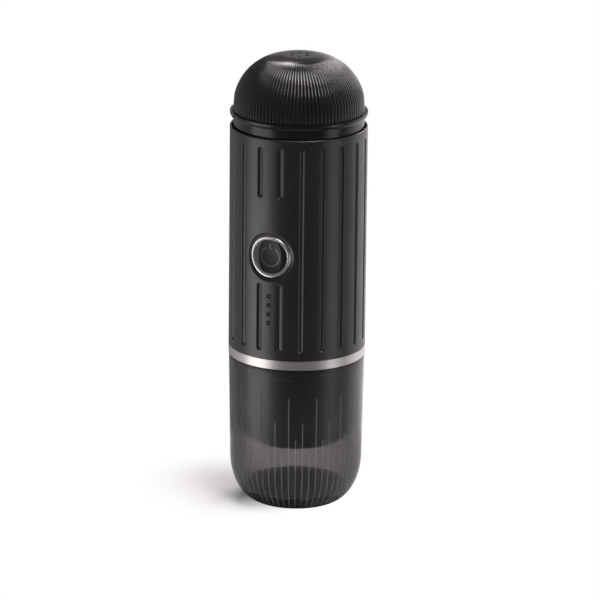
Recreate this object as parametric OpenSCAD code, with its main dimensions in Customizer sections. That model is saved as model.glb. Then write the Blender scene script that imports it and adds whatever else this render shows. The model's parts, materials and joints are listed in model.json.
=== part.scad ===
// Portable espresso maker: a heated water tank under a domed screw lid, a battery powered body,
// and a screw-on brew head inside a push-on smoked cup.
// Millimetres, +Z up, origin at the centre of the cup's base, power button towards -Y.

/* [Cup] */
// Height of the drinking cup
cup_h = 84.5; // [80:0.5:95]
// Radius by which the cup's rim stands inside the body
cup_inset = 0.2; // [0:0.05:0.4]
// Radius that the cup loses from its rim down to its rounded foot
cup_taper = 1; // [0.5:0.1:1.5]
// Diameter of the flat that the cup stands on
cup_base_d = 40; // [34:0.5:46]
// Height of the rounded foot
cup_foot_h = 26; // [20:0.5:28]
// Wall of the cup
cup_wall = 2.2; // [1.8:0.1:2.6]
// Thickness of the cup's heavy floor
cup_floor = 8; // [5:0.5:10]

/* [Band] */
// Height of the steel band between cup and body
band_h = 5; // [4:0.5:8]
// Wall of the steel band
band_wall = 1.2; // [0.8:0.1:1.6]

/* [Body] */
// Outer diameter of the body
body_d = 75; // [74.5:0.5:84]
// Height of the body shell
body_h = 123.5; // [121:0.5:140]
// Wall of the body shell
shell_wall = 2.4; // [2:0.1:2.8]
// Wall of the shell around the lid's neck
mouth_wall = 1.2; // [0.8:0.1:1.5]

/* [Flutes] */
// Number of upright flutes round the body
flute_count = 20; // [12:2:28]
// Width of a flute at the surface
flute_w = 3; // [2:0.1:3.6]
// Depth of a flute
flute_depth = 0.9; // [0.5:0.05:1.1]
// Distance from the shell's ends to the ends of the flutes
flute_margin = 4.8; // [3:0.1:8]
// Length of the short flutes above the button
flute_upper_l = 28; // [20:0.5:32]
// Length of the short flutes beside the lights
flute_lower_l = 38; // [25:0.5:38]

/* [Button] */
// Height of the button's centre above the bottom of the shell
button_rise = 58; // [50:0.5:66]
// Diameter of the button's face
button_d = 18.6; // [16:0.1:19]
// Travel of the button
button_travel = 1; // [0.6:0.1:1.2]
// Width of the bright ring round the button
ring_w = 2.2; // [1.5:0.1:2.6]
// Diameter of the shallow dish round the ring
dish_d = 28; // [26:0.5:29]
// Depth of the shallow dish
dish_depth = 0.9; // [0.4:0.1:1]
// Radius by which the button's edge lies inside the body
button_drop = 0.7; // [0.4:0.1:1]
// Diameter of the power symbol
symbol_d = 11.5; // [8:0.1:13]
// Line width of the power symbol
symbol_line = 0.8; // [0.5:0.1:1.2]

/* [Lights] */
// Number of indicator lights under the button
light_count = 4; // [3:1:4]
// Diameter of an indicator light
light_d = 2.4; // [1.8:0.1:3]
// Spacing of the indicator lights
light_pitch = 5; // [4:0.1:6]
// Distance from the button's centre down to the first light
light_drop = 22; // [20:0.5:24]

/* [Lid] */
// Gap between the body's rim and the flange of the lid
lid_rise = 5.4; // [5.4:0.1:8]
// Thickness of the flange below the dome's foot
flange_h = 1.6; // [1.6:0.1:3]
// Radius by which the flange stands past the body
flange_over = 0; // [0:0.05:0.6]
// Height of the lip round the dome's foot
lip_h = 1; // [1:0.1:2.5]
// Width of the lip round the dome's foot
lip_w = 1.4; // [1:0.1:2]
// Depth of the lid's neck inside the body's mouth
neck_depth = 5.5; // [5:0.1:6.5]
// Gap between the neck and the body's mouth
neck_gap = 0.6; // [0.4:0.1:0.9]
// Wall of the lid's neck
neck_wall = 1.9; // [1.5:0.1:2.2]
// Straight height at the dome's foot
dome_foot_h = 3.4; // [2:0.1:6]
// Radius of the dome's shoulder
dome_shoulder = 28.5; // [26:0.5:30]
// Wall of the dome
dome_wall = 2.2; // [1.6:0.1:2.6]
// Number of grooves between the dome's ribs
rib_count = 102; // [80:2:110]
// Width of a groove between two ribs
rib_gap = 0.7; // [0.5:0.05:0.75]
// Depth of a groove between two ribs
rib_depth = 0.45; // [0.2:0.05:0.6]
// Diameter at which the ribs fade out on the crown
rib_top_d = 30; // [28:0.5:36]
// Number of steam vents in the crown
vent_count = 6; // [4:1:8]
// Diameter of a steam vent
vent_d = 1.6; // [1:0.1:2]
// Diameter of the circle of steam vents
vent_circle_d = 9.4; // [8:0.2:11]

/* [Thread] */
// Number of thread starts on lid and brew head
thread_starts = 4; // [3:1:4]
// Rise of the thread in one turn
thread_lead = 16; // [15:0.5:17]
// Height of a thread lug at its root
lug_h = 1.7; // [1.3:0.1:1.8]
// Depth of a thread lug
lug_depth = 1.3; // [1:0.1:1.4]
// Angle that a thread lug covers
lug_arc = 60; // [40:5:70]

/* [Tank] */
// Wall of the steel tank
tank_wall = 0.8; // [0.6:0.1:1]
// Radius of the tank's rounded floor edge
tank_corner = 6; // [3:0.5:8]
// Height of the threaded spout above the body's rim
spout_rise = 2.4; // [2:0.1:2.6]
// Wall of the threaded spout
spout_wall = 1.8; // [1.5:0.1:2.4]
// Thickness of the lid gasket
gasket_h = 2; // [1.5:0.1:2.2]
// Diameter of the opening in the lid's web
web_hole_d = 44; // [30:1:48]
// Diameter of the heater disc
heater_d = 48; // [44:1:54]
// Thickness of the heater disc
heater_h = 3; // [2:0.1:3.4]
// Height between the battery's holder and the heater disc
heater_room = 4.9; // [1:0.1:8]

/* [Brew head] */
// Height of the brew head
head_h = 42; // [36:0.5:44]
// Wall of the brew head
head_wall = 2.1; // [1.6:0.1:2.6]
// Radius of the brew head's bottom edge
head_corner = 13; // [8:0.5:15]
// Gap between the brew head and the cup at the cup's narrow end
head_side_gap = 0.7; // [0.5:0.1:1.5]
// Diameter of the coffee outlet
outlet_d = 6; // [4:0.5:9]
// Depth of the coffee basket
basket_depth = 19.5; // [16:0.5:20]
// Wall of the coffee basket
basket_wall = 1; // [0.8:0.1:1.4]
// Diameter of the holes in the basket's floor
basket_hole_d = 1.2; // [0.8:0.1:1.6]
// Height of the step that the cup is pushed over
step_h = 6.5; // [6:0.1:8]
// Thickness of the cup's O-ring
oring_d = 2.4; // [2:0.1:2.6]
// Length of the piercing needle below its plate
needle_l = 6; // [4:0.5:7]

/* [Battery] */
// Gap between a battery cell and the edge of the frame
cell_edge_gap = 1; // [0.8:0.1:4]
// Length of a battery cell
cell_l = 70.2; // [65:0.1:72]

/* [Pump] */
// Number of teeth on each pump gear
gear_teeth = 12; // [12:1:14]
// Pitch radius of the pump gears
gear_r = 5.1; // [4.8:0.1:5.4]
// Height of the pump gears
gear_h = 6; // [5:0.5:7]
// Diameter of the pump shaft and the idler pin
shaft_d = 3; // [2.5:0.1:3.2]
// Diameter of the motor
motor_d = 24; // [20:0.5:25]
// Length of the motor
motor_l = 32; // [26:1:40]
// Gap between the motor and the charging board
motor_room = 2; // [1:0.1:3]
// Outer diameter of the water tubes
tube_d = 3.9; // [3.4:0.1:4.2]
// Bore of the water tubes
tube_bore = 2.4; // [1.8:0.1:2.6]

/* [Charging port] */
// Height of the port's centre above the bottom of the shell
port_rise = 18; // [16:0.5:24]
// Width of the port cover
flap_w = 14.8; // [12:0.2:16]
// Height of the port cover
flap_h = 9; // [7.5:0.5:10]
// Thickness of the port cover
flap_t = 1.4; // [1:0.1:1.5]

/* [Clearances] */
// Gap between pieces that are pressed or seated in each other
fit = 0.05; // [0.02:0.01:0.1]
// Radial clearance of a running shaft
run = 0.03; // [0.02:0.01:0.08]
// Gap between faces that meet when a joint closes
seat = 0.1; // [0.05:0.01:0.2]
// Clearance round pieces that move past each other
clear = 0.3; // [0.2:0.05:0.4]

/* [Hidden] */
$fn = 64;

// Radii that the visible pieces share
body_r = body_d / 2;
shell_in_r = body_r - shell_wall;
mouth_r = body_r - mouth_wall;
band_in_r = body_r - band_wall;
cup_rim_r = body_r - cup_inset;
cup_low_r = cup_rim_r - cup_taper;
cup_base_r = cup_base_d / 2;
function cup_out_r(z) = cup_rim_r - cup_taper * (cup_h - z) / (cup_h - cup_foot_h);
function cup_in_r(z) = cup_out_r(z) - cup_wall;
cup_rim_z = cup_h - seat;

// Levels from the floor up
shell_z = cup_h + band_h;
rim_z = shell_z + body_h;
button_z = shell_z + button_rise;
port_z = shell_z + port_rise;

// Button, ring and lights
ring_drop = 0.2;
ring_behind = 1.9;
ring_back = shell_in_r - ring_behind;
button_face_r = body_r - button_drop;
button_flange_w = 0.9;
button_flange_h = 1.2;
button_back = ring_back - seat - button_flange_h;
face_dish_r = 60;
face_dish_depth = 1;
symbol_depth = 1.7;
symbol_gap_angle = 64;
symbol_stem_l = symbol_d * 0.3;
lens_drop = 0.15;
led_w = 1.6;
led_h = 0.8;

// Lid and tank mouth
neck_r = mouth_r - neck_gap;
neck_in_r = neck_r - neck_wall;
neck_z = rim_z - neck_depth;
lug_gap = 0.4;
spout_r = neck_in_r - lug_depth - lug_gap;
spout_in_r = spout_r - spout_wall;
spout_z = rim_z + spout_rise;
tank_r = spout_in_r - 2 * fit;
gasket_in_r = spout_in_r - 3;
tank_lip_z = spout_z + tank_wall;
web_z = tank_lip_z + seat + gasket_h;
dome_z = rim_z + lid_rise + flange_h;
flange_r = body_r + flange_over;
dome_r = flange_r - lip_w - clear;
dome_foot_z = dome_z + dome_foot_h;
ring_flange_h = 2.5;
neck_floor_gap = 1;
ring_z = neck_z - neck_floor_gap - ring_flange_h;
ring_skirt_h = 4;

// Thread: the lid's lugs hang under the spout's lugs, the head's lugs rest on the mount's
thread_pitch = thread_lead / thread_starts;
lug_margin = 0.6;
lug_root = 0.2;
lug_tip_share = 0.65;
lid_lug_z = neck_z + lug_h / 2 + lug_margin;
spout_lug_z = lid_lug_z + thread_pitch / 2;

// Brew head and what carries it
step_gap = 0.5;
step_r = cup_in_r(cup_h) - step_gap;
step_z = cup_h - step_h;
head_top_gap = 1;
head_z = step_z - head_top_gap - head_h;
head_top_z = head_z + head_h;
head_r = cup_low_r - cup_wall - head_side_gap;
head_in_r = head_r - head_wall;
spigot_r = head_in_r - lug_depth - lug_gap;
spigot_h = 10.5;
spigot_z = step_z - spigot_h;
mount_lug_z = spigot_z + lug_h / 2 + lug_margin;
head_lug_z = mount_lug_z + thread_pitch / 2;
spigot_wall = 3;
chamber_r = spigot_r - spigot_wall;
chamber_h = 7;
plate_h = 2;
seal_h = 2.3;
seal_z = spigot_z - seat - seal_h;
basket_flange_h = 2;
basket_flange_r = head_in_r - clear;
ledge_z = seal_z - basket_flange_h;
ledge_w = 4;
ledge_h = 2;
ledge_slope_h = 4;
ledge_r = head_in_r - ledge_w;
basket_gap = 0.8;
basket_r = ledge_r - basket_gap;
plug_h = 4;
plug_top_z = shell_z + plug_h;
oring_z = cup_h - step_h / 2;
oring_gap = 0.04;
oring_out_r = cup_in_r(oring_z) - oring_gap;
oring_mid_r = oring_out_r - oring_d / 2;

// Frame, battery and boards
base_h = 3;
base_z = plug_top_z + base_h;
frame_r = shell_in_r - clear;
cell_y = 2;
cell_tab_w = 8;
cell_tab_h = 0.3;
cell_tab_gap = 0.2;
cell_seat = 1;
cell_z = base_z - cell_seat;
cell_top_z = cell_z + cell_l;
cell_cup_wall = 1.2;
cell_cup_h = 6;
holder_pocket = 2;
holder_h = 4;
holder_z = cell_top_z + cell_tab_h - holder_pocket;
holder_top_z = holder_z + holder_h;
board_t = 1.6;
board_inset = 8.2;
board_face_r = shell_in_r - board_inset;
board_w = 30.8;
board_l = 62;
slot_depth = 1;
post_w = 4.4;
post_d = 5;
front_post = [board_w / 2 - slot_depth + post_w / 2 + fit, -(board_face_r - board_t / 2)];
charge_board_w = 21.8;
charge_board_h = 22;
charge_board_t = 1.2;
socket_l = 7.35;
socket_w = 8.94;
socket_h = 3.26;
flap_floor_r = body_r - flap_t - 2 * seat;
socket_inset = 0.35;
charge_board_r = flap_floor_r - socket_inset - socket_l - charge_board_t;
rear_post = [
    charge_board_w / 2 - slot_depth + post_w / 2 + fit,
    charge_board_r + charge_board_t / 2,
];
posts = [for (p = [front_post, rear_post]) for (s = [-1, 1]) [s * p[0], p[1]]];
frame_screw_r = 1.4;
frame_screw_bite = 6.5;
frame_screw_inset = 4.2;
frame_screw_circle_r = frame_r - frame_screw_inset;
frame_screw_spots = [for (a = [-36, 50, 130, 216]) frame_screw_circle_r * [cos(a), sin(a)]];
holder_screw_r = 1.1;
holder_screw_bite = 5;

// Parts on the back of the control board
chip_side = 9;
chip_t = 1.2;
chip_rise = 30;
driver_count = 4;
driver_w = 4;
driver_h = 5;
driver_t = 1.6;
driver_pitch = 6;
driver_rise = 52;
low_row_rise = 12;
low_row_x = 7;
jack_w = 8;
jack_h = 5;
jack_t = 4;
coil_r = 4.5;
coil_h = 5;

// Heater under the tank
heater_z = holder_top_z + heater_room;
tank_z = heater_z + heater_h;
sensor_h = 4;
sensor_r = 4;
sensor_leg_l = 3;
sensor_leg_w = 2;
sensor_leg_t = 0.5;

// Pump, its motor and the water path
gear_gap = 0.1;
gear_distance = 2 * gear_r + gear_gap / 2;
gear_module = 2 * gear_r / gear_teeth;
gear_tip_r = gear_r + gear_module;
gear_root_r = gear_r - 1.25 * gear_module;
pressure_angle = 25;
motor_y = charge_board_r - motor_room - motor_d / 2;
driven_y = motor_y - gear_distance;
mesh_y = (motor_y + driven_y) / 2;
pump_front_y = -14;
pump_behind_motor = 9;
pump_back_y = motor_y + pump_behind_motor;
channel_r = 1.2;
drill_r = 0.9;
pump_wall = 1.5;
port_wall = 1;
port_x = gear_tip_r + gear_gap + channel_r + port_wall;
port_y = -10;
pump_half_w = port_x + channel_r + pump_wall;
pump_floor = 5.8;
pump_h = pump_floor + gear_h + 2 * gear_gap;
pump_top_z = base_z + pump_h;
cover_h = 3;
cover_top_z = pump_top_z + cover_h;
gear_z = base_z + pump_floor + gear_gap;
channel_z = gear_z + gear_h / 2;
shaft_r = shaft_d / 2;
shaft_floor = 3;
shaft_z = base_z + shaft_floor;
shaft_in_motor = 4;
shaft_top_z = cover_top_z + shaft_in_motor;
pin_cover_gap = 1;
motor_boss_r = 5;
motor_boss_h = 1.4;
tube_r = tube_d / 2;
grommet_r = tube_r + 0.7;
grommet_flange_r = tube_r + 1.9;
grommet_lip = 1.2;
mount_nipple_bite = 1.5;
nipple_bite = 2;
pump_screw_r = 1.25;
pump_screw_head_r = 2.4;
pump_screw_head_h = 1.5;
pump_screw_x = 8.5;
pump_screw_spots = [
    [pump_screw_x, pump_back_y - 2.5],
    [-pump_screw_x, pump_back_y - 2.5],
    [0, pump_front_y + 3],
];

// Battery cells fill the room between the pump and the frame's edge
cell_in_x = pump_half_w + clear + cell_cup_wall + clear / 2;
cell_d = frame_r - cell_edge_gap - cell_in_x;
cell_r = cell_d / 2;
cell_x = cell_in_x + cell_r;

// Charging flap
flap_z = port_z - flap_h / 2;
flap_out_r = body_r - seat;
flap_in_r = flap_out_r - flap_t;
flap_pin_y = flap_out_r - flap_t / 2;

// Points of an arc about c, from angle a to angle b
function arc(c, rx, ry, a, b, steps) =
    [for (i = [0 : steps]) let (t = a + (b - a) * i / steps) [c[0] + rx * cos(t), c[1] + ry * sin(t)]];

// Tube between two radii
module ring(r_out, r_in, h) {
    difference() {
        cylinder(r = r_out, h = h);
        translate([0, 0, -1]) cylinder(r = r_in, h = h + 2);
    }
}

// Rod with round ends along +Z, from one end's centre to the other's
module capsule(r, l) {
    cylinder(r = r, h = l);
    sphere(r = r);
    translate([0, 0, l]) sphere(r = r);
}

// Cylinder that points towards -Y, from y = -far to y = -near
module front_rod(r, near, far) {
    rotate([90, 0, 0]) translate([0, 0, near]) cylinder(r = r, h = far - near);
}

// One helical thread lug from radius r_root to r_tip, its middle starting at height z
module thread_lug(r_root, r_tip, z) {
    steps = 12;
    tip_h = lug_h * lug_tip_share;
    r = [min(r_root, r_tip), max(r_root, r_tip)];
    h = r_root < r_tip ? [lug_h, tip_h] : [tip_h, lug_h];
    section = [[r[0], -h[0] / 2], [r[0], h[0] / 2], [r[1], h[1] / 2], [r[1], -h[1] / 2]];
    points = [for (i = [0 : steps]) let (a = lug_arc * i / steps) for (p = section)
        [p[0] * cos(a), p[0] * sin(a), z + p[1] + thread_lead * a / 360]];
    sides = [for (i = [0 : steps - 1]) for (j = [0 : 3])
        let (k = (j + 1) % 4, a = 4 * i + j, b = 4 * i + 4 + j, c = 4 * i + 4 + k, d = 4 * i + k)
        each [[a, b, c], [a, c, d]]];
    last = 4 * steps;
    caps = [[0, 1, 2], [0, 2, 3], [last, last + 2, last + 1], [last, last + 3, last + 2]];
    polyhedron(points, concat(sides, caps));
}

// The lugs of all thread starts
module thread_lugs(r_root, r_tip, z) {
    for (i = [0 : thread_starts - 1]) rotate([0, 0, 360 * i / thread_starts])
        thread_lug(r_root, r_tip, z);
}

// Polar angle of the gear's involute at radius r
function involute(r, base) = let (t = sqrt(max(0, pow(r / base, 2) - 1))) t * 180 / PI - atan(t);

// Outline of a pump gear with a tooth on +X
module gear_outline() {
    base = gear_r * cos(pressure_angle);
    thinning = atan(gear_gap / 2 / gear_r);
    half = 90 / gear_teeth - thinning + involute(gear_r, base);
    steps = 5;
    low_r = max(base, gear_root_r);
    flank = [for (i = [0 : steps]) let (r = low_r + (gear_tip_r - low_r) * i / steps)
        [r, half - involute(r, base)]];
    side = concat([[gear_root_r, half]], flank);
    count = len(side);
    tooth = [for (p = side) [p[0], -p[1]]];
    back = [for (i = [count - 1 : -1 : 0]) side[i]];
    polygon([for (k = [0 : gear_teeth - 1]) for (p = concat(tooth, back))
        let (a = 360 * k / gear_teeth + p[1])
        [p[0] * cos(a), p[0] * sin(a)]]);
}

// Pan head screw that points down, its head standing on z = 0
module screw(head_r, head_h, shank_r, shank_l) {
    cylinder(r = head_r, h = head_h);
    translate([0, 0, -shank_l]) cylinder(r = shank_r, h = shank_l + head_h / 2);
}

module cup() {
    steps = 14;
    foot = [cup_base_r, cup_foot_h];
    foot_w = cup_low_r - cup_base_r;
    outside = arc(foot, foot_w, cup_foot_h, -90, 0, steps);
    inside = arc(foot, foot_w - cup_wall, cup_foot_h - cup_floor, 0, -90, steps);
    rim = [[cup_out_r(cup_rim_z), cup_rim_z], [cup_in_r(cup_rim_z), cup_rim_z]];
    color([0.25, 0.25, 0.26, 0.6]) rotate_extrude()
        polygon(concat([[0, 0]], outside, rim, inside, [[0, cup_floor]]));
}

module cup_oring() {
    color([0.1, 0.1, 0.1]) translate([0, 0, oring_z])
        rotate_extrude() translate([oring_mid_r, 0]) circle(d = oring_d);
}

module trim_band() {
    color([0.8, 0.8, 0.8]) translate([0, 0, cup_h]) ring(body_r, band_in_r, band_h);
}

// Cutter for one flute of the given span of height, on the -Y side
module flute(z_low, z_high) {
    r = (pow(flute_w / 2, 2) + pow(flute_depth, 2)) / (2 * flute_depth);
    end = flute_w / 2;
    translate([0, -(body_r + r - flute_depth), z_low + end]) capsule(r, z_high - z_low - 2 * end);
}

module flutes() {
    low = shell_z + flute_margin;
    high = rim_z - flute_margin;
    above_port = port_z + flap_h / 2 + flute_margin;
    for (i = [0 : flute_count - 1]) {
        a = 360 * (i + 0.5) / flute_count;
        x = abs(sin(a)) * body_r;
        rotate([0, 0, a])
            if (cos(a) > 0 && x < (dish_d + flute_w) / 2) {
                flute(low, low + flute_lower_l);
                flute(high - flute_upper_l, high);
            } else if (cos(a) < 0 && x < flap_w / 2 + flute_w) {
                flute(above_port, high);
            } else {
                flute(low, high);
            }
    }
}

// Everything outside radius r, within a rod of radius rod_r that points towards -Y
module front_dish(rod_r, r) {
    difference() {
        translate([0, 0, button_z]) front_rod(rod_r, r - shell_wall - dish_d / 4, body_r + 1);
        translate([0, 0, shell_z]) cylinder(r = r, h = body_h);
    }
}

module light_spots() {
    for (i = [0 : light_count - 1])
        translate([0, 0, button_z - light_drop - i * light_pitch]) children();
}

// Recess of the charging flap and the way through to the socket
module port_cut() {
    slot_r = socket_h / 2 + clear;
    slot_x = socket_w / 2 - socket_h / 2;
    below = flap_t / 2 + clear / 2;
    difference() {
        translate([-flap_w / 2 - clear, 0, flap_z - below])
            cube([flap_w + 2 * clear, body_r + 1, flap_h + below + clear]);
        translate([0, 0, shell_z]) cylinder(r = flap_floor_r, h = body_h);
    }
    translate([0, 0, port_z]) {
        for (s = [-1, 1]) translate([s * slot_x, 0, 0]) rotate([-90, 0, 0])
            cylinder(r = slot_r, h = body_r);
        translate([-slot_x, 0, -slot_r]) cube([2 * slot_x, body_r, 2 * slot_r]);
    }
}

module body_shell() {
    color([0.12, 0.12, 0.12]) difference() {
        translate([0, 0, shell_z]) cylinder(r = body_r, h = body_h);
        translate([0, 0, shell_z - 1]) cylinder(r = shell_in_r, h = body_h + 2);
        translate([0, 0, ring_z]) cylinder(r = mouth_r, h = rim_z - ring_z + 1);
        flutes();
        front_dish(dish_d / 2, body_r - dish_depth);
        translate([0, 0, button_z]) front_rod(button_d / 2 + ring_w + 2 * fit, 0, body_r + 1);
        light_spots() front_rod(light_d / 2 + fit, 0, body_r + 1);
        port_cut();
    }
}

module button_ring() {
    color([0.85, 0.85, 0.83]) intersection() {
        translate([0, 0, button_z]) difference() {
            front_rod(button_d / 2 + ring_w + fit, ring_back, body_r + 1);
            front_rod(button_d / 2 + 2 * fit, 0, body_r + 2);
        }
        translate([0, 0, shell_z]) cylinder(r = body_r - ring_drop, h = body_h);
    }
}

// The button before its symbol is let in: a dished face, a shank and a retaining flange
module button_blank() {
    difference() {
        intersection() {
            translate([0, 0, button_z]) union() {
                front_rod(button_d / 2, button_back + button_flange_h / 2, body_r);
                front_rod(button_d / 2 + button_flange_w, button_back, button_back + button_flange_h);
            }
            translate([0, 0, shell_z]) cylinder(r = button_face_r, h = body_h);
        }
        translate([0, -(button_face_r - face_dish_depth + face_dish_r), button_z])
            sphere(r = face_dish_r, $fn = 320);
    }
}

// Open arc with a stem through its gap, standing on the XZ plane at the button's height
module symbol_prism() {
    r = symbol_d / 2;
    h = symbol_depth + button_drop;
    translate([0, -(button_face_r - symbol_depth), button_z]) rotate([90, 0, 0]) {
        rotate([0, 0, 90 + symbol_gap_angle / 2]) rotate_extrude(angle = 360 - symbol_gap_angle)
            translate([r - symbol_line, 0]) square([symbol_line, h]);
        translate([-symbol_line / 2, r - symbol_stem_l * 0.6, 0]) cube([symbol_line, symbol_stem_l, h]);
    }
}

module power_button() {
    color([0.1, 0.1, 0.1]) difference() {
        button_blank();
        symbol_prism();
    }
}

module power_symbol() {
    color([0.75, 0.75, 0.75]) intersection() {
        button_blank();
        symbol_prism();
    }
}

module light_pipes() {
    color([0.3, 0.3, 0.32]) intersection() {
        light_spots() front_rod(light_d / 2, board_face_r + led_h + seat, body_r + 1);
        translate([0, 0, shell_z]) cylinder(r = body_r - lens_drop, h = body_h);
    }
}

// Half section of the dome, drawn in by inset from its outer face
module dome_section(inset) {
    shoulder_x = dome_r - dome_shoulder;
    translate([0, dome_z]) square([dome_r - inset, dome_foot_h]);
    translate([0, dome_z]) square([shoulder_x, dome_foot_h + dome_shoulder - inset]);
    intersection() {
        translate([shoulder_x, dome_foot_z]) circle(r = dome_shoulder - inset);
        translate([shoulder_x, dome_foot_z]) square(dome_shoulder);
    }
}

// Thin upright plates that leave the dome's ribs standing between them
module rib_plates() {
    for (i = [0 : rib_count - 1]) rotate([0, 0, 360 * i / rib_count])
        translate([rib_top_d / 2, -rib_gap / 2, dome_z - 1])
            cube([dome_r, rib_gap, dome_foot_h + dome_shoulder + 1]);
}

module dome_cap() {
    color([0.1, 0.1, 0.1]) difference() {
        rotate_extrude() dome_section(0);
        translate([0, 0, -1]) rotate_extrude() union() {
            translate([0, 1]) dome_section(dome_wall);
            translate([0, dome_z]) square([dome_r - dome_wall, 2]);
        }
        difference() {
            rib_plates();
            rotate_extrude() dome_section(rib_depth);
        }
        for (i = [0 : vent_count - 1]) rotate([0, 0, 360 * (i + 0.5) / vent_count + 24])
            translate([vent_circle_d / 2, 0, dome_z])
                cylinder(d = vent_d, h = dome_foot_h + dome_shoulder + 1);
    }
}

module lid_collar() {
    bevel = 1.2;
    locator_w = 2;
    locator_h = 3;
    locator_r = dome_r - dome_wall - fit;
    section = [
        [neck_in_r, neck_z], [neck_r, neck_z], [neck_r, dome_z - flange_h],
        [flange_r - bevel / 2, dome_z - flange_h], [flange_r, dome_z - flange_h + bevel],
        [flange_r, dome_z + lip_h], [flange_r - lip_w, dome_z + lip_h], [flange_r - lip_w, dome_z],
        [locator_r, dome_z], [locator_r, dome_z + locator_h],
        [locator_r - locator_w, dome_z + locator_h], [locator_r - locator_w, dome_z],
        [web_hole_d / 2, dome_z], [web_hole_d / 2, web_z], [neck_in_r, web_z],
    ];
    color([0.06, 0.06, 0.06]) {
        rotate_extrude() polygon(section);
        thread_lugs(neck_in_r + lug_root, neck_in_r - lug_depth, lid_lug_z);
    }
}

module lid_gasket() {
    color([0.3, 0.3, 0.3]) translate([0, 0, tank_lip_z + seat])
        ring(spout_r, gasket_in_r, gasket_h);
}

module tank_ring() {
    section = [
        [spout_in_r, ring_z - ring_skirt_h], [shell_in_r - fit, ring_z - ring_skirt_h],
        [shell_in_r - fit, ring_z], [mouth_r - fit, ring_z], [mouth_r - fit, ring_z + ring_flange_h],
        [spout_r, ring_z + ring_flange_h], [spout_r, spout_z], [spout_in_r, spout_z],
    ];
    color([0.15, 0.15, 0.15]) {
        rotate_extrude() polygon(section);
        thread_lugs(spout_r - lug_root, spout_r + lug_depth, spout_lug_z);
    }
}

module tank_cup() {
    steps = 6;
    corner = [tank_r - tank_corner, tank_z + tank_corner];
    in_corner = tank_corner - tank_wall;
    outside = arc(corner, tank_corner, tank_corner, -90, 0, steps);
    inside = arc(corner, in_corner, in_corner, 0, -90, steps);
    lip = [
        [tank_r, spout_z], [spout_r, spout_z], [spout_r, tank_lip_z], [tank_r - tank_wall, tank_lip_z],
    ];
    color([0.75, 0.76, 0.77]) difference() {
        rotate_extrude() polygon(concat([[0, tank_z]], outside, lip, inside, [[0, tank_z + tank_wall]]));
        translate([port_x, port_y, tank_z - 1]) cylinder(r = grommet_r + fit, h = tank_wall + 2);
    }
}

module tank_grommet() {
    top = tank_wall + grommet_lip;
    section = [
        [tube_r + fit, -grommet_lip], [grommet_flange_r, -grommet_lip], [grommet_flange_r, 0],
        [grommet_r, 0], [grommet_r, tank_wall], [grommet_flange_r, tank_wall],
        [grommet_flange_r, top], [tube_r + fit, top],
    ];
    color([0.5, 0.1, 0.1]) translate([port_x, port_y, tank_z]) rotate_extrude() polygon(section);
}

module heater_disc() {
    color([0.6, 0.45, 0.35]) translate([0, 0, heater_z]) difference() {
        cylinder(d = heater_d, h = heater_h);
        translate([port_x, port_y, -1]) cylinder(r = grommet_flange_r + clear, h = heater_h + 2);
    }
}

module heat_sensor() {
    leg_x = sensor_r + sensor_leg_l;
    color([0.55, 0.55, 0.55]) translate([0, 0, heater_z - sensor_h]) {
        cylinder(r = sensor_r, h = sensor_h);
        translate([-leg_x, -sensor_leg_w / 2, sensor_h - sensor_leg_t])
            cube([2 * leg_x, sensor_leg_w, sensor_leg_t]);
    }
}

module brew_mount() {
    groove_r = oring_mid_r - oring_d / 2;
    groove_low = oring_z - oring_d / 2 - seat;
    groove_high = oring_z + oring_d / 2 + seat;
    duct_z = shell_z - 2;
    nipple_hole_h = 2;
    section = [
        [0, spigot_z + chamber_h], [chamber_r, spigot_z + chamber_h], [chamber_r, spigot_z],
        [spigot_r, spigot_z], [spigot_r, step_z], [step_r, step_z], [step_r, groove_low],
        [groove_r, groove_low], [groove_r, groove_high], [step_r, groove_high], [step_r, cup_h],
        [band_in_r - fit, cup_h], [band_in_r - fit, shell_z], [shell_in_r - fit, shell_z],
        [shell_in_r - fit, plug_top_z], [0, plug_top_z],
    ];
    color([0.13, 0.13, 0.13]) {
        difference() {
            rotate_extrude() polygon(section);
            translate([0, 0, spigot_z]) cylinder(r = channel_r, h = duct_z + channel_r - spigot_z);
            translate([-port_x, port_y, plug_top_z - nipple_hole_h])
                cylinder(r = tube_r + fit, h = nipple_hole_h + 1);
            translate([-port_x, port_y, duct_z - channel_r])
                cylinder(r = channel_r, h = plug_top_z - duct_z);
            translate([0, 0, duct_z]) rotate([0, 90, atan2(port_y, -port_x)])
                cylinder(r = drill_r, h = norm([port_x, port_y]));
            for (p = frame_screw_spots) translate([p[0], p[1], plug_top_z - frame_screw_bite])
                cylinder(r = frame_screw_r + fit, h = frame_screw_bite + 1);
        }
        thread_lugs(spigot_r - lug_root, spigot_r + lug_depth, mount_lug_z);
    }
}

module needle_plate() {
    needle_r = 1.5;
    needle_bore_r = 0.7;
    needle_side_r = 0.6;
    point_r = 0.3;
    tip_h = 2;
    hole_count = 8;
    hole_r = 0.8;
    hole_circle_r = chamber_r * 0.7;
    color([0.78, 0.78, 0.78]) translate([0, 0, spigot_z]) difference() {
        union() {
            cylinder(r = chamber_r - fit, h = plate_h);
            translate([0, 0, tip_h - needle_l]) cylinder(r = needle_r, h = needle_l);
            translate([0, 0, -needle_l]) cylinder(r1 = point_r, r2 = needle_r, h = tip_h);
        }
        translate([0, 0, -needle_l / 2]) cylinder(r = needle_bore_r, h = needle_l);
        translate([-needle_r - 1, 0, -needle_l / 2]) rotate([0, 90, 0])
            cylinder(r = needle_side_r, h = 2 * needle_r + 2);
        for (i = [0 : hole_count - 1]) rotate([0, 0, 360 * i / hole_count])
            translate([hole_circle_r, 0, -1]) cylinder(r = hole_r, h = plate_h + 2);
    }
}

module group_seal() {
    out_r = spigot_r - 0.2;
    in_r = basket_r - 1.5;
    color([0.45, 0.12, 0.1]) translate([0, 0, seal_z]) ring(out_r, in_r, seal_h);
}

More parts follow.
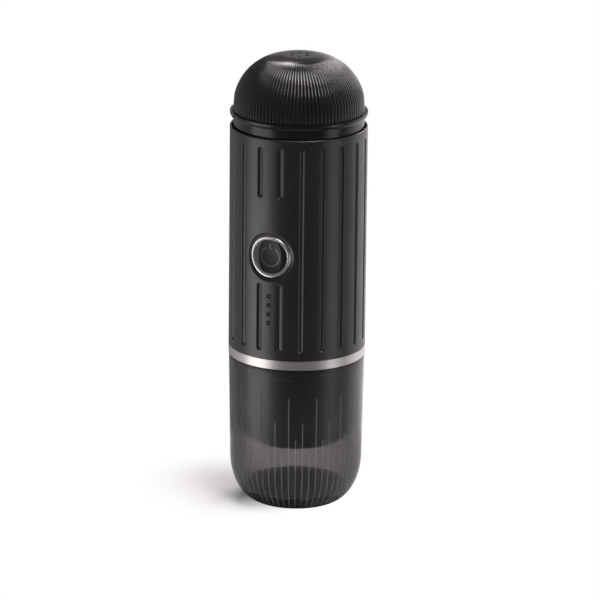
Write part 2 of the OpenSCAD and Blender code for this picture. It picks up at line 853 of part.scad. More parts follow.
module brew_head() {
    steps = 8;
    floor_h = 2.4;
    low_in_r = head_in_r - 0.3;
    under_z = ledge_z - ledge_h;
    corner = [head_r - head_corner, head_z + head_corner];
    outside = arc(corner, head_corner, head_corner, -90, 0, steps);
    inside = arc(corner, low_in_r - corner[0], head_corner - floor_h, 0, -90, steps);
    upper = [
        [head_r, head_top_z], [head_in_r, head_top_z], [head_in_r, ledge_z], [ledge_r, ledge_z],
        [ledge_r, under_z], [low_in_r, under_z - ledge_slope_h],
    ];
    low = [outlet_d / 2, head_z];
    high = [outlet_d / 2, head_z + floor_h];
    color([0.09, 0.09, 0.09]) {
        rotate_extrude() polygon(concat([low], outside, upper, inside, [high]));
        thread_lugs(head_in_r + lug_root, head_in_r - lug_depth, head_lug_z);
    }
}

module coffee_basket() {
    floor_z = seal_z - basket_depth;
    floor_top_z = floor_z + basket_wall;
    in_r = basket_r - basket_wall;
    hole_pitch = 5;
    hole_rows = 4;
    section = [
        [0, floor_z], [basket_r, floor_z], [basket_r, ledge_z], [basket_flange_r, ledge_z],
        [basket_flange_r, seal_z], [in_r, seal_z], [in_r, floor_top_z], [0, floor_top_z],
    ];
    color([0.72, 0.72, 0.73]) difference() {
        rotate_extrude() polygon(section);
        for (row = [0 : hole_rows]) let (count = max(1, 6 * row)) for (i = [0 : count - 1])
            rotate([0, 0, 360 * i / count]) translate([row * hole_pitch, 0, floor_z - 1])
                cylinder(d = basket_hole_d, h = basket_wall + 2, $fn = 16);
    }
}

module cell_spots() {
    for (s = [-1, 1]) translate([s * cell_x, cell_y, 0]) children();
}

module inner_frame() {
    pocket_r = cell_r + clear / 2;
    tab_slot_w = cell_tab_w + 2 * cell_tab_gap;
    color([0.2, 0.2, 0.22]) difference() {
        union() {
            translate([0, 0, plug_top_z]) cylinder(r = frame_r, h = base_h);
            intersection() {
                cell_spots() translate([0, 0, plug_top_z])
                    cylinder(r = pocket_r + cell_cup_wall, h = base_h + cell_cup_h);
                translate([0, 0, plug_top_z]) cylinder(r = frame_r, h = base_h + cell_cup_h);
            }
            for (p = posts) translate([p[0] - post_w / 2, p[1] - post_d / 2, plug_top_z])
                cube([post_w, post_d, holder_z - plug_top_z]);
        }
        cell_spots() translate([0, 0, cell_z]) cylinder(r = pocket_r, h = cell_l);
        translate([-cell_x, cell_y - tab_slot_w / 2, cell_z - cell_tab_h])
            cube([2 * cell_x, tab_slot_w, cell_tab_h + cell_seat + 0.01]);
        translate([-board_w / 2 - fit, -board_face_r - fit, base_z])
            cube([board_w + 2 * fit, board_t + 2 * fit, board_l + fit]);
        translate([-charge_board_w / 2 - fit, charge_board_r - fit, base_z])
            cube([charge_board_w + 2 * fit, charge_board_t + 2 * fit, charge_board_h + fit]);
        translate([-port_x, port_y, plug_top_z - 1]) cylinder(r = tube_r + clear, h = base_h + 2);
        for (p = frame_screw_spots) translate([p[0], p[1], plug_top_z - 1])
            cylinder(r = frame_screw_r + fit, h = base_h + 2);
        for (p = posts) translate([p[0], p[1], holder_z - holder_screw_bite])
            cylinder(r = holder_screw_r + fit, h = holder_screw_bite + 1);
    }
}

module frame_screws() {
    head_r = 2.6;
    head_h = 1.8;
    color([0.6, 0.6, 0.62]) for (p = frame_screw_spots) translate([p[0], p[1], base_z])
        screw(head_r, head_h, frame_screw_r, base_h + frame_screw_bite - 1);
}

module cell_holder() {
    color([0.2, 0.2, 0.22]) difference() {
        translate([0, 0, holder_z]) cylinder(r = frame_r, h = holder_h);
        cell_spots() translate([0, 0, holder_z - 1])
            cylinder(r = cell_r + clear / 2, h = holder_pocket + 1);
        translate([0, 0, holder_z - 1]) cylinder(r = 2 * sensor_r, h = holder_h + 2);
        translate([port_x, port_y, holder_z - 1]) cylinder(r = tube_r + clear, h = holder_h + 2);
        for (p = posts) translate([p[0], p[1], holder_z - 1])
            cylinder(r = holder_screw_r + fit, h = holder_h + 2);
    }
}

module holder_screws() {
    head_r = 2;
    head_h = 1.4;
    color([0.6, 0.6, 0.62]) for (p = posts) translate([p[0], p[1], holder_top_z])
        screw(head_r, head_h, holder_screw_r, holder_h + holder_screw_bite - 1);
}

module battery_cells() {
    button_h = 0.2;
    color([0.2, 0.35, 0.5]) cell_spots() translate([0, 0, cell_z]) {
        cylinder(r = cell_r, h = cell_l - button_h);
        cylinder(r = cell_r / 2, h = cell_l);
    }
}

module cell_tabs() {
    color([0.8, 0.8, 0.78]) {
        translate([-cell_x, cell_y - cell_tab_w / 2, cell_z - cell_tab_h])
            cube([2 * cell_x, cell_tab_w, cell_tab_h]);
        cell_spots() translate([-cell_tab_w / 2, -cell_tab_w / 2, cell_top_z])
            cube([cell_tab_w, cell_tab_w, cell_tab_h]);
    }
}

module control_board() {
    color([0.05, 0.3, 0.15]) translate([-board_w / 2, -board_face_r, base_z])
        cube([board_w, board_t, board_l]);
}

// Block on the back of the control board, standing off it by depth
module board_block(x, z, w, h, depth) {
    translate([x - w / 2, board_t - board_face_r, base_z + z - h / 2]) cube([w, depth, h]);
}

module board_parts() {
    color([0.15, 0.15, 0.16]) {
        board_block(0, chip_rise, chip_side, chip_side, chip_t);
        for (i = [0 : driver_count - 1]) let (x = (i - (driver_count - 1) / 2) * driver_pitch)
            board_block(x, driver_rise, driver_w, driver_h, driver_t);
        board_block(-low_row_x, low_row_rise, jack_w, jack_h, jack_t);
        translate([low_row_x, board_t - board_face_r, base_z + low_row_rise]) rotate([-90, 0, 0])
            cylinder(r = coil_r, h = coil_h);
        light_spots() translate([-led_w / 2, -board_face_r - led_h, -led_w / 2])
            cube([led_w, led_h, led_w]);
    }
}

module button_switch() {
    side = 6;
    nose_r = 1.7;
    nose_h = 0.7;
    reach = button_back - button_travel - seat - board_face_r;
    color([0.25, 0.25, 0.25]) translate([0, 0, button_z]) {
        translate([-side / 2, -board_face_r - reach + nose_h, -side / 2])
            cube([side, reach - nose_h, side]);
        front_rod(nose_r, board_face_r, board_face_r + reach);
    }
}

module pump_block(z, h) {
    translate([-pump_half_w, pump_front_y, z]) cube([2 * pump_half_w, pump_back_y - pump_front_y, h]);
}

module pump_body() {
    chamber_z = base_z + pump_floor;
    pocket_w = 3;
    pocket_x = 2.5;
    color([0.5, 0.5, 0.52]) difference() {
        pump_block(base_z, pump_h);
        for (y = [motor_y, driven_y]) translate([0, y, chamber_z])
            cylinder(r = gear_tip_r + gear_gap, h = pump_h);
        translate([0, motor_y, shaft_z - seat]) cylinder(r = shaft_r + run, h = pump_h);
        translate([0, driven_y, shaft_z]) cylinder(r = shaft_r + fit, h = pump_h);
        for (s = [-1, 1]) {
            x = s > 0 ? pocket_x : -port_x - channel_r;
            translate([x, mesh_y - pocket_w / 2, channel_z - channel_r])
                cube([port_x + channel_r - pocket_x, pocket_w, 2 * channel_r]);
            translate([s * port_x, port_y, channel_z]) rotate([-90, 0, 0])
                cylinder(r = drill_r, h = mesh_y - port_y);
        }
        translate([port_x, port_y, channel_z - channel_r]) cylinder(r = channel_r, h = pump_h);
        translate([-port_x, port_y, base_z - 1])
            cylinder(r = channel_r, h = channel_z + channel_r - base_z + 1);
        translate([-port_x, port_y, base_z - 1]) cylinder(r = tube_r + fit, h = nipple_bite + 1);
        for (p = pump_screw_spots) translate([p[0], p[1], base_z + 2])
            cylinder(r = pump_screw_r + fit, h = pump_h);
    }
}

module pump_cover() {
    color([0.5, 0.5, 0.52]) difference() {
        pump_block(pump_top_z, cover_h);
        translate([0, motor_y, pump_top_z - 1]) cylinder(r = shaft_r + run, h = cover_h + 2);
        translate([0, motor_y, cover_top_z - motor_boss_h])
            cylinder(r = motor_boss_r + fit, h = cover_h);
        translate([0, driven_y, pump_top_z - 1]) cylinder(r = shaft_r + fit, h = cover_h);
        translate([port_x, port_y, pump_top_z - 1]) cylinder(r = tube_r + fit, h = cover_h + 2);
        for (p = pump_screw_spots) translate([p[0], p[1], pump_top_z]) {
            translate([0, 0, -1]) cylinder(r = pump_screw_r + fit, h = cover_h + 2);
            translate([0, 0, cover_h - pump_screw_head_h - fit])
                cylinder(r = pump_screw_head_r + fit, h = cover_h);
        }
    }
}

module pump_screws() {
    color([0.6, 0.6, 0.62]) for (p = pump_screw_spots)
        translate([p[0], p[1], cover_top_z - pump_screw_head_h - fit])
            screw(pump_screw_head_r, pump_screw_head_h, pump_screw_r, pump_h - 2.5);
}

module drive_shaft() {
    color([0.75, 0.75, 0.76]) translate([0, motor_y, shaft_z])
        cylinder(r = shaft_r, h = shaft_top_z - shaft_z);
}

// Pump gear turned by angle a about its own axis, with a bore of the given radius
module pump_gear(y, a, bore_r) {
    translate([0, y, gear_z]) rotate([0, 0, a]) difference() {
        linear_extrude(height = gear_h) gear_outline();
        translate([0, 0, -1]) cylinder(r = bore_r, h = gear_h + 2);
    }
}

module drive_gear() {
    color([0.72, 0.6, 0.3]) pump_gear(motor_y, -90, shaft_r + fit / 2);
}

module driven_gear() {
    color([0.72, 0.6, 0.3]) pump_gear(driven_y, 90 + 180 / gear_teeth, shaft_r + run);
}

module idler_pin() {
    color([0.75, 0.75, 0.76]) translate([0, driven_y, shaft_z])
        cylinder(r = shaft_r, h = cover_top_z - pin_cover_gap - shaft_z);
}

module pump_motor() {
    cap_r = 4;
    cap_h = 2;
    terminal = [0.5, 2, 3];
    color([0.62, 0.62, 0.63]) translate([0, motor_y, cover_top_z]) difference() {
        union() {
            cylinder(d = motor_d, h = motor_l);
            translate([0, 0, -motor_boss_h]) cylinder(r = motor_boss_r, h = motor_boss_h + 1);
            translate([0, 0, motor_l - 1]) cylinder(r = cap_r, h = cap_h + 1);
            for (s = [-1, 1]) translate([s * motor_d / 3, -terminal[1] / 2, motor_l - 1]) cube(terminal);
        }
        translate([0, 0, -motor_boss_h - 1])
            cylinder(r = shaft_r + run, h = shaft_top_z + seat - cover_top_z + motor_boss_h + 1);
    }
}

module inlet_tube() {
    color([0.8, 0.8, 0.82]) translate([port_x, port_y, pump_top_z])
        ring(tube_r, tube_bore / 2, tank_z + tank_wall - pump_top_z);
}

module outlet_nipple() {
    color([0.8, 0.8, 0.82]) translate([-port_x, port_y, plug_top_z - mount_nipple_bite])
        ring(tube_r, tube_bore / 2, base_h + mount_nipple_bite + nipple_bite - seat);
}

module charge_board() {
    color([0.05, 0.3, 0.15]) translate([-charge_board_w / 2, charge_board_r, base_z])
        cube([charge_board_w, charge_board_t, charge_board_h]);
}

// Flat slot with round ends, along +Y from the charging board
module socket_slot(w, h, y, l) {
    translate([0, y, port_z]) {
        for (s = [-1, 1]) translate([s * (w - h) / 2, 0, 0]) rotate([-90, 0, 0])
            cylinder(d = h, h = l);
        translate([-(w - h) / 2, 0, -h / 2]) cube([w - h, l, h]);
    }
}

module charge_socket() {
    wall = 0.3;
    back = 1;
    tongue = [6.7, 5.5, 0.7];
    y = charge_board_r + charge_board_t;
    color([0.75, 0.75, 0.75]) {
        difference() {
            socket_slot(socket_w, socket_h, y, socket_l);
            socket_slot(socket_w - 2 * wall, socket_h - 2 * wall, y + back, socket_l);
        }
        translate([-tongue[0] / 2, y + back / 2, port_z - tongue[2] / 2]) cube(tongue);
    }
}

module port_cover() {
    pin_l = 7;
    color([0.13, 0.13, 0.13]) {
        intersection() {
            translate([0, 0, flap_z]) ring(flap_out_r, flap_in_r, flap_h);
            translate([-flap_w / 2, 0, flap_z]) cube([flap_w, body_r, flap_h]);
        }
        translate([-pin_l / 2, flap_pin_y, flap_z]) rotate([0, 90, 0]) cylinder(d = flap_t, h = pin_l);
    }
}

cup();
cup_oring();
trim_band();
body_shell();
button_ring();
power_button();
power_symbol();
light_pipes();
dome_cap();
lid_collar();
lid_gasket();
tank_ring();
tank_cup();
tank_grommet();
heater_disc();
heat_sensor();
brew_mount();
needle_plate();
group_seal();
brew_head();
coffee_basket();
inner_frame();
frame_screws();
cell_holder();
holder_screws();
battery_cells();
cell_tabs();
control_board();
board_parts();
button_switch();
pump_body();
pump_cover();
pump_screws();
drive_shaft();
drive_gear();
driven_gear();
idler_pin();
pump_motor();
inlet_tube();
outlet_nipple();
charge_board();
charge_socket();
port_cover();
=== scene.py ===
import json
import math

import bmesh
import bpy
from mathutils import Matrix, Vector


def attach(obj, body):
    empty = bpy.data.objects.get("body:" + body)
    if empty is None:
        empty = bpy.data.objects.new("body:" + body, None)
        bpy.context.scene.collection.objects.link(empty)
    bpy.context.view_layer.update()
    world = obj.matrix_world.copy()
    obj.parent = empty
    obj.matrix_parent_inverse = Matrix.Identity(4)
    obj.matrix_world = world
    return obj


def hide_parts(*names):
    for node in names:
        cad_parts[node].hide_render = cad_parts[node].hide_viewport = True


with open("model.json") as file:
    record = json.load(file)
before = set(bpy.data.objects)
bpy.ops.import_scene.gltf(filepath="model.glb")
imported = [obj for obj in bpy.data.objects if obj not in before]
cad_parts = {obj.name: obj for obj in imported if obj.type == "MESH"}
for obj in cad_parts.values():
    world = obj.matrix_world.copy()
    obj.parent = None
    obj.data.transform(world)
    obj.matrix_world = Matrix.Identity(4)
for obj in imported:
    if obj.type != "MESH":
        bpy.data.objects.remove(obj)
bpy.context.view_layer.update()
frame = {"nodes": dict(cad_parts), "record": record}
scene = bpy.context.scene
scene.view_settings.view_transform = "Standard"
MM = 0.001

# Sizes in millimetres, taken from the part's source
CUP_H, BAND_H, BODY_H = 84.5, 5.0, 123.5
SHELL_Z = CUP_H + BAND_H
RIM_Z = SHELL_Z + BODY_H
BODY_R, SHELL_IN_R = 37.5, 35.1
MOUTH_R, MOUTH_DEPTH = 36.3, 9.0
CUP_RIM_R, CUP_LOW_R, CUP_BASE_R = 37.3, 36.3, 20.0
CUP_FOOT_Z, CUP_WALL, CUP_FLOOR, CUP_GAP = 26.0, 2.2, 8.0, 0.1
CUP_RIM_Z = CUP_H - CUP_GAP
FLUTE_COUNT, FLUTE_W, FLUTE_DEPTH, FLUTE_MARGIN = 20, 3.0, 0.9, 4.8
FLUTE_UPPER_L, FLUTE_LOWER_L = 28.0, 38.0
BUTTON_RISE, DISH_R, DISH_DEPTH = 58.0, 14.0, 0.9
BUTTON_Z = SHELL_Z + BUTTON_RISE
RING_IN_R, RING_OUT_R, RING_TOP_R, RING_BACK_R = 9.4, 11.55, 37.3, 33.2
LIGHT_COUNT, LIGHT_R, LIGHT_DROP, LIGHT_PITCH = 4, 1.2, 22.0, 5.0
LIGHT_ZS = [BUTTON_Z - LIGHT_DROP - LIGHT_PITCH * i for i in range(LIGHT_COUNT)]
PORT_RISE, FLAP_W, FLAP_H, FLAP_FLOOR_R = 18.0, 14.8, 9.0, 35.9
PORT_Z = SHELL_Z + PORT_RISE
LID_RISE, FLANGE_H, DOME_FOOT_H = 5.4, 1.6, 3.4
DOME_R, DOME_SHOULDER, DOME_WALL = 35.8, 28.5, 2.2
DOME_Z = RIM_Z + LID_RISE + FLANGE_H
DOME_FOOT_Z = DOME_Z + DOME_FOOT_H
RIB_COUNT = 102
VENT_COUNT, VENT_CIRCLE_R, VENT_START = 6, 4.7, 54.0


# Mesh making

SMOOTH_ANGLE = 35.0


def finish_mesh(name, bm, material, smooth=SMOOTH_ANGLE):
    """Turns a bmesh in millimetres into an object with smooth shading up to an angle."""
    bmesh.ops.scale(bm, vec=(MM, MM, MM), verts=bm.verts)
    mesh = bpy.data.meshes.new(name)
    bm.to_mesh(mesh)
    bm.free()
    mesh.materials.append(material)
    mesh.shade_smooth()
    mesh.set_sharp_from_angle(angle=math.radians(smooth))
    obj = bpy.data.objects.new(name, mesh)
    scene.collection.objects.link(obj)
    return obj


def add_grid(bm, rows, wrap_rows=True):
    """Adds quads between rows of points; each row closes on itself, and a row of one point is a pole."""
    made = []
    for row in rows:
        made.append([bm.verts.new(p) for p in row])
    count = max(len(row) for row in made)
    pairs = list(zip(made, made[1:]))
    if wrap_rows:
        pairs.append((made[-1], made[0]))
    for low, high in pairs:
        for c in range(count):
            d = (c + 1) % count
            corners = [low[c % len(low)], low[d % len(low)], high[d % len(high)], high[c % len(high)]]
            corners = list(dict.fromkeys(corners))
            if len(corners) > 2:
                bm.faces.new(corners)


def even_angles(count):
    """Angles that share a full turn."""
    return [2 * math.pi * i / count for i in range(count)]


def lathe_rows(section, angles, shape):
    """Rows of points of a section turned about Z; shape(angle, r, z) gives the radius of each point."""
    rows = []
    for r, z in section:
        if r == 0:
            rows.append([(0.0, 0.0, z)])
            continue
        row = []
        for a in angles:
            turned = shape(a, r, z)
            row.append((turned * math.cos(a), turned * math.sin(a), z))
        rows.append(row)
    return rows


def lathe(name, section, angles, shape, slot, smooth=SMOOTH_ANGLE):
    """Closed solid turned about Z: the section runs up the outside and down the inside."""
    bm = bmesh.new()
    rows = lathe_rows(section, angles, shape)
    add_grid(bm, rows, wrap_rows=section[0][0] > 0)
    return finish_mesh(name, bm, MATERIALS[slot], smooth)


def rounded(corners, steps):
    """Points of a section of (r, z, radius) corners, each with a radius cut back to an arc."""
    points = [Vector((r, z)) for r, z, radius in corners]
    out = []
    for i, (r, z, radius) in enumerate(corners):
        if not radius:
            out.append((r, z))
            continue
        here = points[i]
        before = (points[i - 1] - here).normalized()
        after = (points[(i + 1) % len(points)] - here).normalized()
        half = before.angle(after) / 2
        reach = radius / math.tan(half)
        centre = here + (before + after).normalized() * (radius / math.sin(half))
        start, end = here + before * reach - centre, here + after * reach - centre
        turn = math.atan2(start.x * end.y - start.y * end.x, start.dot(end))
        for k in range(steps + 1):
            spoke = Matrix.Rotation(turn * k / steps, 2) @ start
            out.append(tuple(centre + spoke))
    return out


def arc(centre, rx, rz, low, high, steps):
    """Points of an arc in a section, between two angles in degrees."""
    turns = [math.radians(low + (high - low) * i / steps) for i in range(steps + 1)]
    return [(centre[0] + rx * math.cos(t), centre[1] + rz * math.sin(t)) for t in turns]


def spread(marks):
    """Values from the first mark through marks of (end, step), in steps of about that size."""
    values = [marks[0]]
    for end, step in marks[1:]:
        start = values[-1]
        count = max(1, round((end - start) / step))
        values += [start + (end - start) * (i + 1) / count for i in range(count)]
    return values


def prism(near, far):
    """Closed shape between two loops of as many points."""
    bm = bmesh.new()
    near_ring = [bm.verts.new(p) for p in near]
    far_ring = [bm.verts.new(p) for p in far]
    bm.faces.new(near_ring)
    bm.faces.new(far_ring)
    for i in range(len(near)):
        j = (i + 1) % len(near)
        bm.faces.new([near_ring[i], near_ring[j], far_ring[j], far_ring[i]])
    return bm


def cut(obj, cutter_bm):
    """Cuts the closed shapes of a bmesh in millimetres out of an object."""
    bmesh.ops.scale(cutter_bm, vec=(MM, MM, MM), verts=cutter_bm.verts)
    bmesh.ops.recalc_face_normals(cutter_bm, faces=cutter_bm.faces)
    mesh = bpy.data.meshes.new("cutter")
    cutter_bm.to_mesh(mesh)
    cutter_bm.free()
    cutter = bpy.data.objects.new("cutter", mesh)
    scene.collection.objects.link(cutter)
    modifier = obj.modifiers.new("cut", "BOOLEAN")
    modifier.operation = "DIFFERENCE"
    modifier.solver = "EXACT"
    modifier.object = cutter
    graph = bpy.context.evaluated_depsgraph_get()
    result = bpy.data.meshes.new_from_object(obj.evaluated_get(graph))
    obj.modifiers.clear()
    obj.data = result
    bpy.data.objects.remove(cutter)
    bpy.data.meshes.remove(mesh)
    result.shade_smooth()
    result.set_sharp_from_angle(angle=math.radians(SMOOTH_ANGLE))


def add_rod(bm, r, near, far, segments, matrix):
    """Adds a closed rod along the matrix's Z, from near to far."""
    centre = matrix @ Matrix.Translation((0, 0, (near + far) / 2))
    bmesh.ops.create_cone(bm, cap_ends=True, segments=segments, radius1=r, radius2=r,
                          depth=far - near, matrix=centre)


def front(z):
    """Frame whose Z axis points out of the front of the body, at height z."""
    return Matrix.Translation((0, 0, z)) @ Matrix.Rotation(math.radians(90), 4, "X")


def smooth_step(low, high, x):
    """Nought at low and one at high, with a soft start and end; low may be the larger."""
    t = min(1.0, max(0.0, (x - low) / (high - low)))
    return t * t * (3 - 2 * t)


# Materials, kept under the name of their slot

MATERIALS = {}
NOISE_LOW, NOISE_HIGH = 0.3, 0.7
EVEN, ROUND_BAND, ALONG_Y, UPRIGHT = (1, 1, 1), (1.0, 1.0, 60.0), (1, 12, 1), (1, 1, 8)


def add_node(tree, kind, **values):
    """A new node in a tree, with some of its properties set."""
    node = tree.nodes.new(kind)
    for key, value in values.items():
        setattr(node, key, value)
    return node


def new_material(name, color, rough, metal=0.0, **sockets):
    """A Principled material; further sockets are named with underscores for spaces."""
    mat = bpy.data.materials.new(name)
    mat.use_nodes = True
    shader = mat.node_tree.nodes["Principled BSDF"]
    shader.inputs["Base Color"].default_value = (*color, 1)
    shader.inputs["Roughness"].default_value = rough
    shader.inputs["Metallic"].default_value = metal
    for socket, value in sockets.items():
        shader.inputs[socket.replace("_", " ")].default_value = value
    MATERIALS[name] = mat
    return mat


class Nodes:
    """Adds linked texture nodes to one material's tree."""

    def __init__(self, mat):
        self.tree = mat.node_tree
        self.shader = mat.node_tree.nodes["Principled BSDF"]
        self.coords = add_node(self.tree, "ShaderNodeTexCoord").outputs["Object"]

    def noise(self, scale, detail, stretch=EVEN):
        mapping = add_node(self.tree, "ShaderNodeMapping")
        mapping.inputs["Scale"].default_value = stretch
        self.tree.links.new(self.coords, mapping.inputs["Vector"])
        noise = add_node(self.tree, "ShaderNodeTexNoise")
        noise.inputs["Scale"].default_value = scale
        noise.inputs["Detail"].default_value = detail
        self.tree.links.new(mapping.outputs["Vector"], noise.inputs["Vector"])
        return noise.outputs["Fac"]

    def attribute(self, name):
        return add_node(self.tree, "ShaderNodeAttribute", attribute_name=name).outputs["Fac"]

    def map_range(self, value, low, high, from_low=NOISE_LOW, from_high=NOISE_HIGH):
        node = add_node(self.tree, "ShaderNodeMapRange")
        node.inputs["From Min"].default_value = from_low
        node.inputs["From Max"].default_value = from_high
        node.inputs["To Min"].default_value = low
        node.inputs["To Max"].default_value = high
        self.tree.links.new(value, node.inputs["Value"])
        return node.outputs["Result"]

    def ramp(self, value, dark, light):
        node = add_node(self.tree, "ShaderNodeValToRGB")
        node.color_ramp.elements[0].position = NOISE_LOW
        node.color_ramp.elements[0].color = (*dark, 1)
        node.color_ramp.elements[1].position = NOISE_HIGH
        node.color_ramp.elements[1].color = (*light, 1)
        self.tree.links.new(value, node.inputs["Fac"])
        return node.outputs["Color"]

    def bump(self, height, distance, strength):
        node = add_node(self.tree, "ShaderNodeBump")
        node.inputs["Distance"].default_value = distance
        node.inputs["Strength"].default_value = strength
        self.tree.links.new(height, node.inputs["Height"])
        return node.outputs["Normal"]

    def link(self, value, socket):
        self.tree.links.new(value, self.shader.inputs[socket])


def shade(color, factor):
    """A colour made darker or lighter by a factor."""
    return tuple(min(1.0, c * factor) for c in color)


MOTTLE_SCALE, MOTTLE_GLOSS_LOW, MOTTLE_GLOSS_HIGH, GRAIN_STRENGTH = 60, 0.92, 1.08, 0.6


def moulded(name, color, rough, grain_mm, grain_depth, mottle=0.12, **sockets):
    """Moulded plastic or rubber: fine spark-eroded grain, slow mottling in tone and gloss."""
    n = Nodes(new_material(name, color, rough, **sockets))
    slow = n.noise(MOTTLE_SCALE, 4)
    n.link(n.ramp(slow, shade(color, 1 - mottle), shade(color, 1 + mottle)), "Base Color")
    n.link(n.map_range(slow, rough * MOTTLE_GLOSS_LOW, rough * MOTTLE_GLOSS_HIGH), "Roughness")
    fine = n.noise(1 / MM / grain_mm, 2)
    n.link(n.bump(fine, grain_depth * MM, GRAIN_STRENGTH), "Normal")


STREAK_GLOSS_LOW, STREAK_GLOSS_HIGH, STREAK_DEPTH, STREAK_STRENGTH = 0.75, 1.35, 0.004, 0.5


def brushed(name, color, rough, stretch, scale=900, streak=0.10):
    """Brushed metal: streaks that run along the axes with the small stretch."""
    n = Nodes(new_material(name, color, rough, 1.0))
    streaks = n.noise(scale, 5, stretch)
    n.link(n.ramp(streaks, shade(color, 1 - streak), shade(color, 1 + streak / 2)), "Base Color")
    n.link(n.map_range(streaks, rough * STREAK_GLOSS_LOW, rough * STREAK_GLOSS_HIGH), "Roughness")
    n.link(n.bump(streaks, STREAK_DEPTH * MM, STREAK_STRENGTH), "Normal")


GROOVE_NAME, OUTSIDE_NAME, FLOOR_NAME = "groove", "outside", "floor"
GROOVE_FROST, GROOVE_FROM, GROOVE_FULL, FLOOR_ROUGH = 0.22, 0.1, 0.6, 0.5
HAZE_SCALE, HAZE_LOW, HAZE_HIGH = 45, 0.8, 1.25
WAVE_SCALE, WAVE_DEPTH, WAVE_STRENGTH = 120, 0.02, 0.25


def smoked_plastic(name, tint, density, rough, **sockets):
    """Clear plastic that darkens with its thickness.

    Its outside has a satin coat, its grooves and floor are frosted, and its wall is slightly wavy.
    """
    n = Nodes(new_material(name, (1, 1, 1), rough, Transmission_Weight=1.0, **sockets))
    links = n.tree.links
    haze = add_node(n.tree, "ShaderNodeMath", operation="MAXIMUM")
    links.new(n.map_range(n.noise(HAZE_SCALE, 3), rough * HAZE_LOW, rough * HAZE_HIGH), haze.inputs[0])
    links.new(n.map_range(n.attribute(FLOOR_NAME), 0.0, FLOOR_ROUGH), haze.inputs[1])
    n.link(haze.outputs["Value"], "Roughness")
    n.link(n.bump(n.noise(WAVE_SCALE, 2), WAVE_DEPTH * MM, WAVE_STRENGTH), "Normal")
    clear = n.map_range(n.attribute(GROOVE_NAME), 1.0, 1 - GROOVE_FROST, GROOVE_FROM, GROOVE_FULL)
    n.link(clear, "Transmission Weight")
    n.link(n.attribute(OUTSIDE_NAME), "Coat Weight")
    smoke = add_node(n.tree, "ShaderNodeVolumeAbsorption")
    smoke.inputs["Color"].default_value = (*tint, 1)
    smoke.inputs["Density"].default_value = density
    links.new(smoke.outputs["Volume"], n.tree.nodes["Material Output"].inputs["Volume"])


smoked_plastic("smoked_clear", (0.055, 0.025, 0.018), 500, 0.15,
               IOR=1.12, Coat_Roughness=0.44, Coat_IOR=1.56)
moulded("black_rubber", (0.012, 0.012, 0.012), 0.62, 0.5, 0.010, Specular_IOR_Level=0.2)
brushed("brushed_steel", (0.58, 0.575, 0.57), 0.38, ROUND_BAND)
moulded("satin_black", (0.0105, 0.0100, 0.0098), 0.36, 0.30, 0.006, Specular_IOR_Level=0.62)
brushed("bright_ring", (0.56, 0.555, 0.55), 0.30, EVEN, 1500, 0.06)
moulded("button_black", (0.010, 0.0098, 0.0096), 0.36, 0.25, 0.005, Specular_IOR_Level=0.3)
moulded("symbol_light", (0.07, 0.07, 0.07), 0.24, 0.3, 0.003)
moulded("lens_grey", (0.045, 0.045, 0.047), 0.22, 0.4, 0.003)
moulded("dome_black", (0.0080, 0.0076, 0.0075), 0.21, 0.5, 0.0012, Specular_IOR_Level=0.5)
moulded("gloss_black", (0.0060, 0.0058, 0.0058), 0.27, 0.6, 0.002, Specular_IOR_Level=0.42)
moulded("grey_silicone", (0.20, 0.20, 0.20), 0.55, 0.5, 0.008)
moulded("inner_plastic", (0.012, 0.012, 0.012), 0.60, 0.4, 0.008, Specular_IOR_Level=0.12)
brushed("tank_steel", (0.62, 0.615, 0.60), 0.28, ROUND_BAND)
moulded("red_silicone", (0.30, 0.045, 0.030), 0.50, 0.5, 0.008)
brushed("heater_metal", (0.50, 0.50, 0.50), 0.38, EVEN, 700)
moulded("head_black", (0.0095, 0.0092, 0.0090), 0.46, 0.3, 0.0003, Specular_IOR_Level=0.15)
moulded("frame_plastic", (0.045, 0.045, 0.05), 0.48, 0.4, 0.010)
brushed("screw_steel", (0.55, 0.55, 0.54), 0.30, EVEN, 2500)
moulded("cell_wrap", (0.035, 0.11, 0.22), 0.25, 1.2, 0.004)
moulded("board_green", (0.012, 0.09, 0.04), 0.35, 0.8, 0.006, 0.25)
moulded("board_parts", (0.02, 0.02, 0.022), 0.45, 0.4, 0.006)
brushed("pump_metal", (0.42, 0.42, 0.43), 0.40, UPRIGHT, 400)
brushed("gear_brass", (0.62, 0.45, 0.18), 0.28, EVEN, 1500)
brushed("motor_can", (0.48, 0.48, 0.49), 0.32, ROUND_BAND)
brushed("socket_metal", (0.58, 0.58, 0.57), 0.25, ALONG_Y, 800)

for subpart in frame["record"]["subparts"]:
    node = frame["nodes"][subpart["node"]]
    node.data.materials.clear()
    node.data.materials.append(MATERIALS[subpart["material_slot"]])


# Body shell: soft flutes, the dish round the button, holes for ring, lights and charging port

FLUTE_LOW, FLUTE_HIGH = SHELL_Z + FLUTE_MARGIN, RIM_Z - FLUTE_MARGIN
FLUTE_OVER_PORT = PORT_Z + FLAP_H / 2 + FLUTE_MARGIN
FLUTE_ROD_R = ((FLUTE_W / 2) ** 2 + FLUTE_DEPTH ** 2) / (2 * FLUTE_DEPTH)
FLUTE_EDGE, FLUTE_REACH, DISH_FLAT = 0.16, 2.4, 0.2
FOOT_EDGE, RIM_ROUND, RIM_LAST_ROW = 0.4, 0.6, 0.7
# Steps between the columns of the mesh in radians, and between its rows in millimetres
WALL_TURN, FLUTE_TURN, DISH_TURN = 0.026, 0.0057, 0.0095
FOOT_STEP, WALL_STEP, END_STEP, DISH_STEP, RIM_STEP = 1.5, 3, 0.28, 0.36, 1.2
# How far close rows reach past the ends of flutes and the dish, and close columns past it in radians
END_OUT, END_IN, PORT_END_OUT, PORT_END_IN = 0.8, 2.2, 0.9, 2.3
LOWER_END_IN, DISH_OUT, DISH_SPARE_TURN = 2.5, 1, 0.02
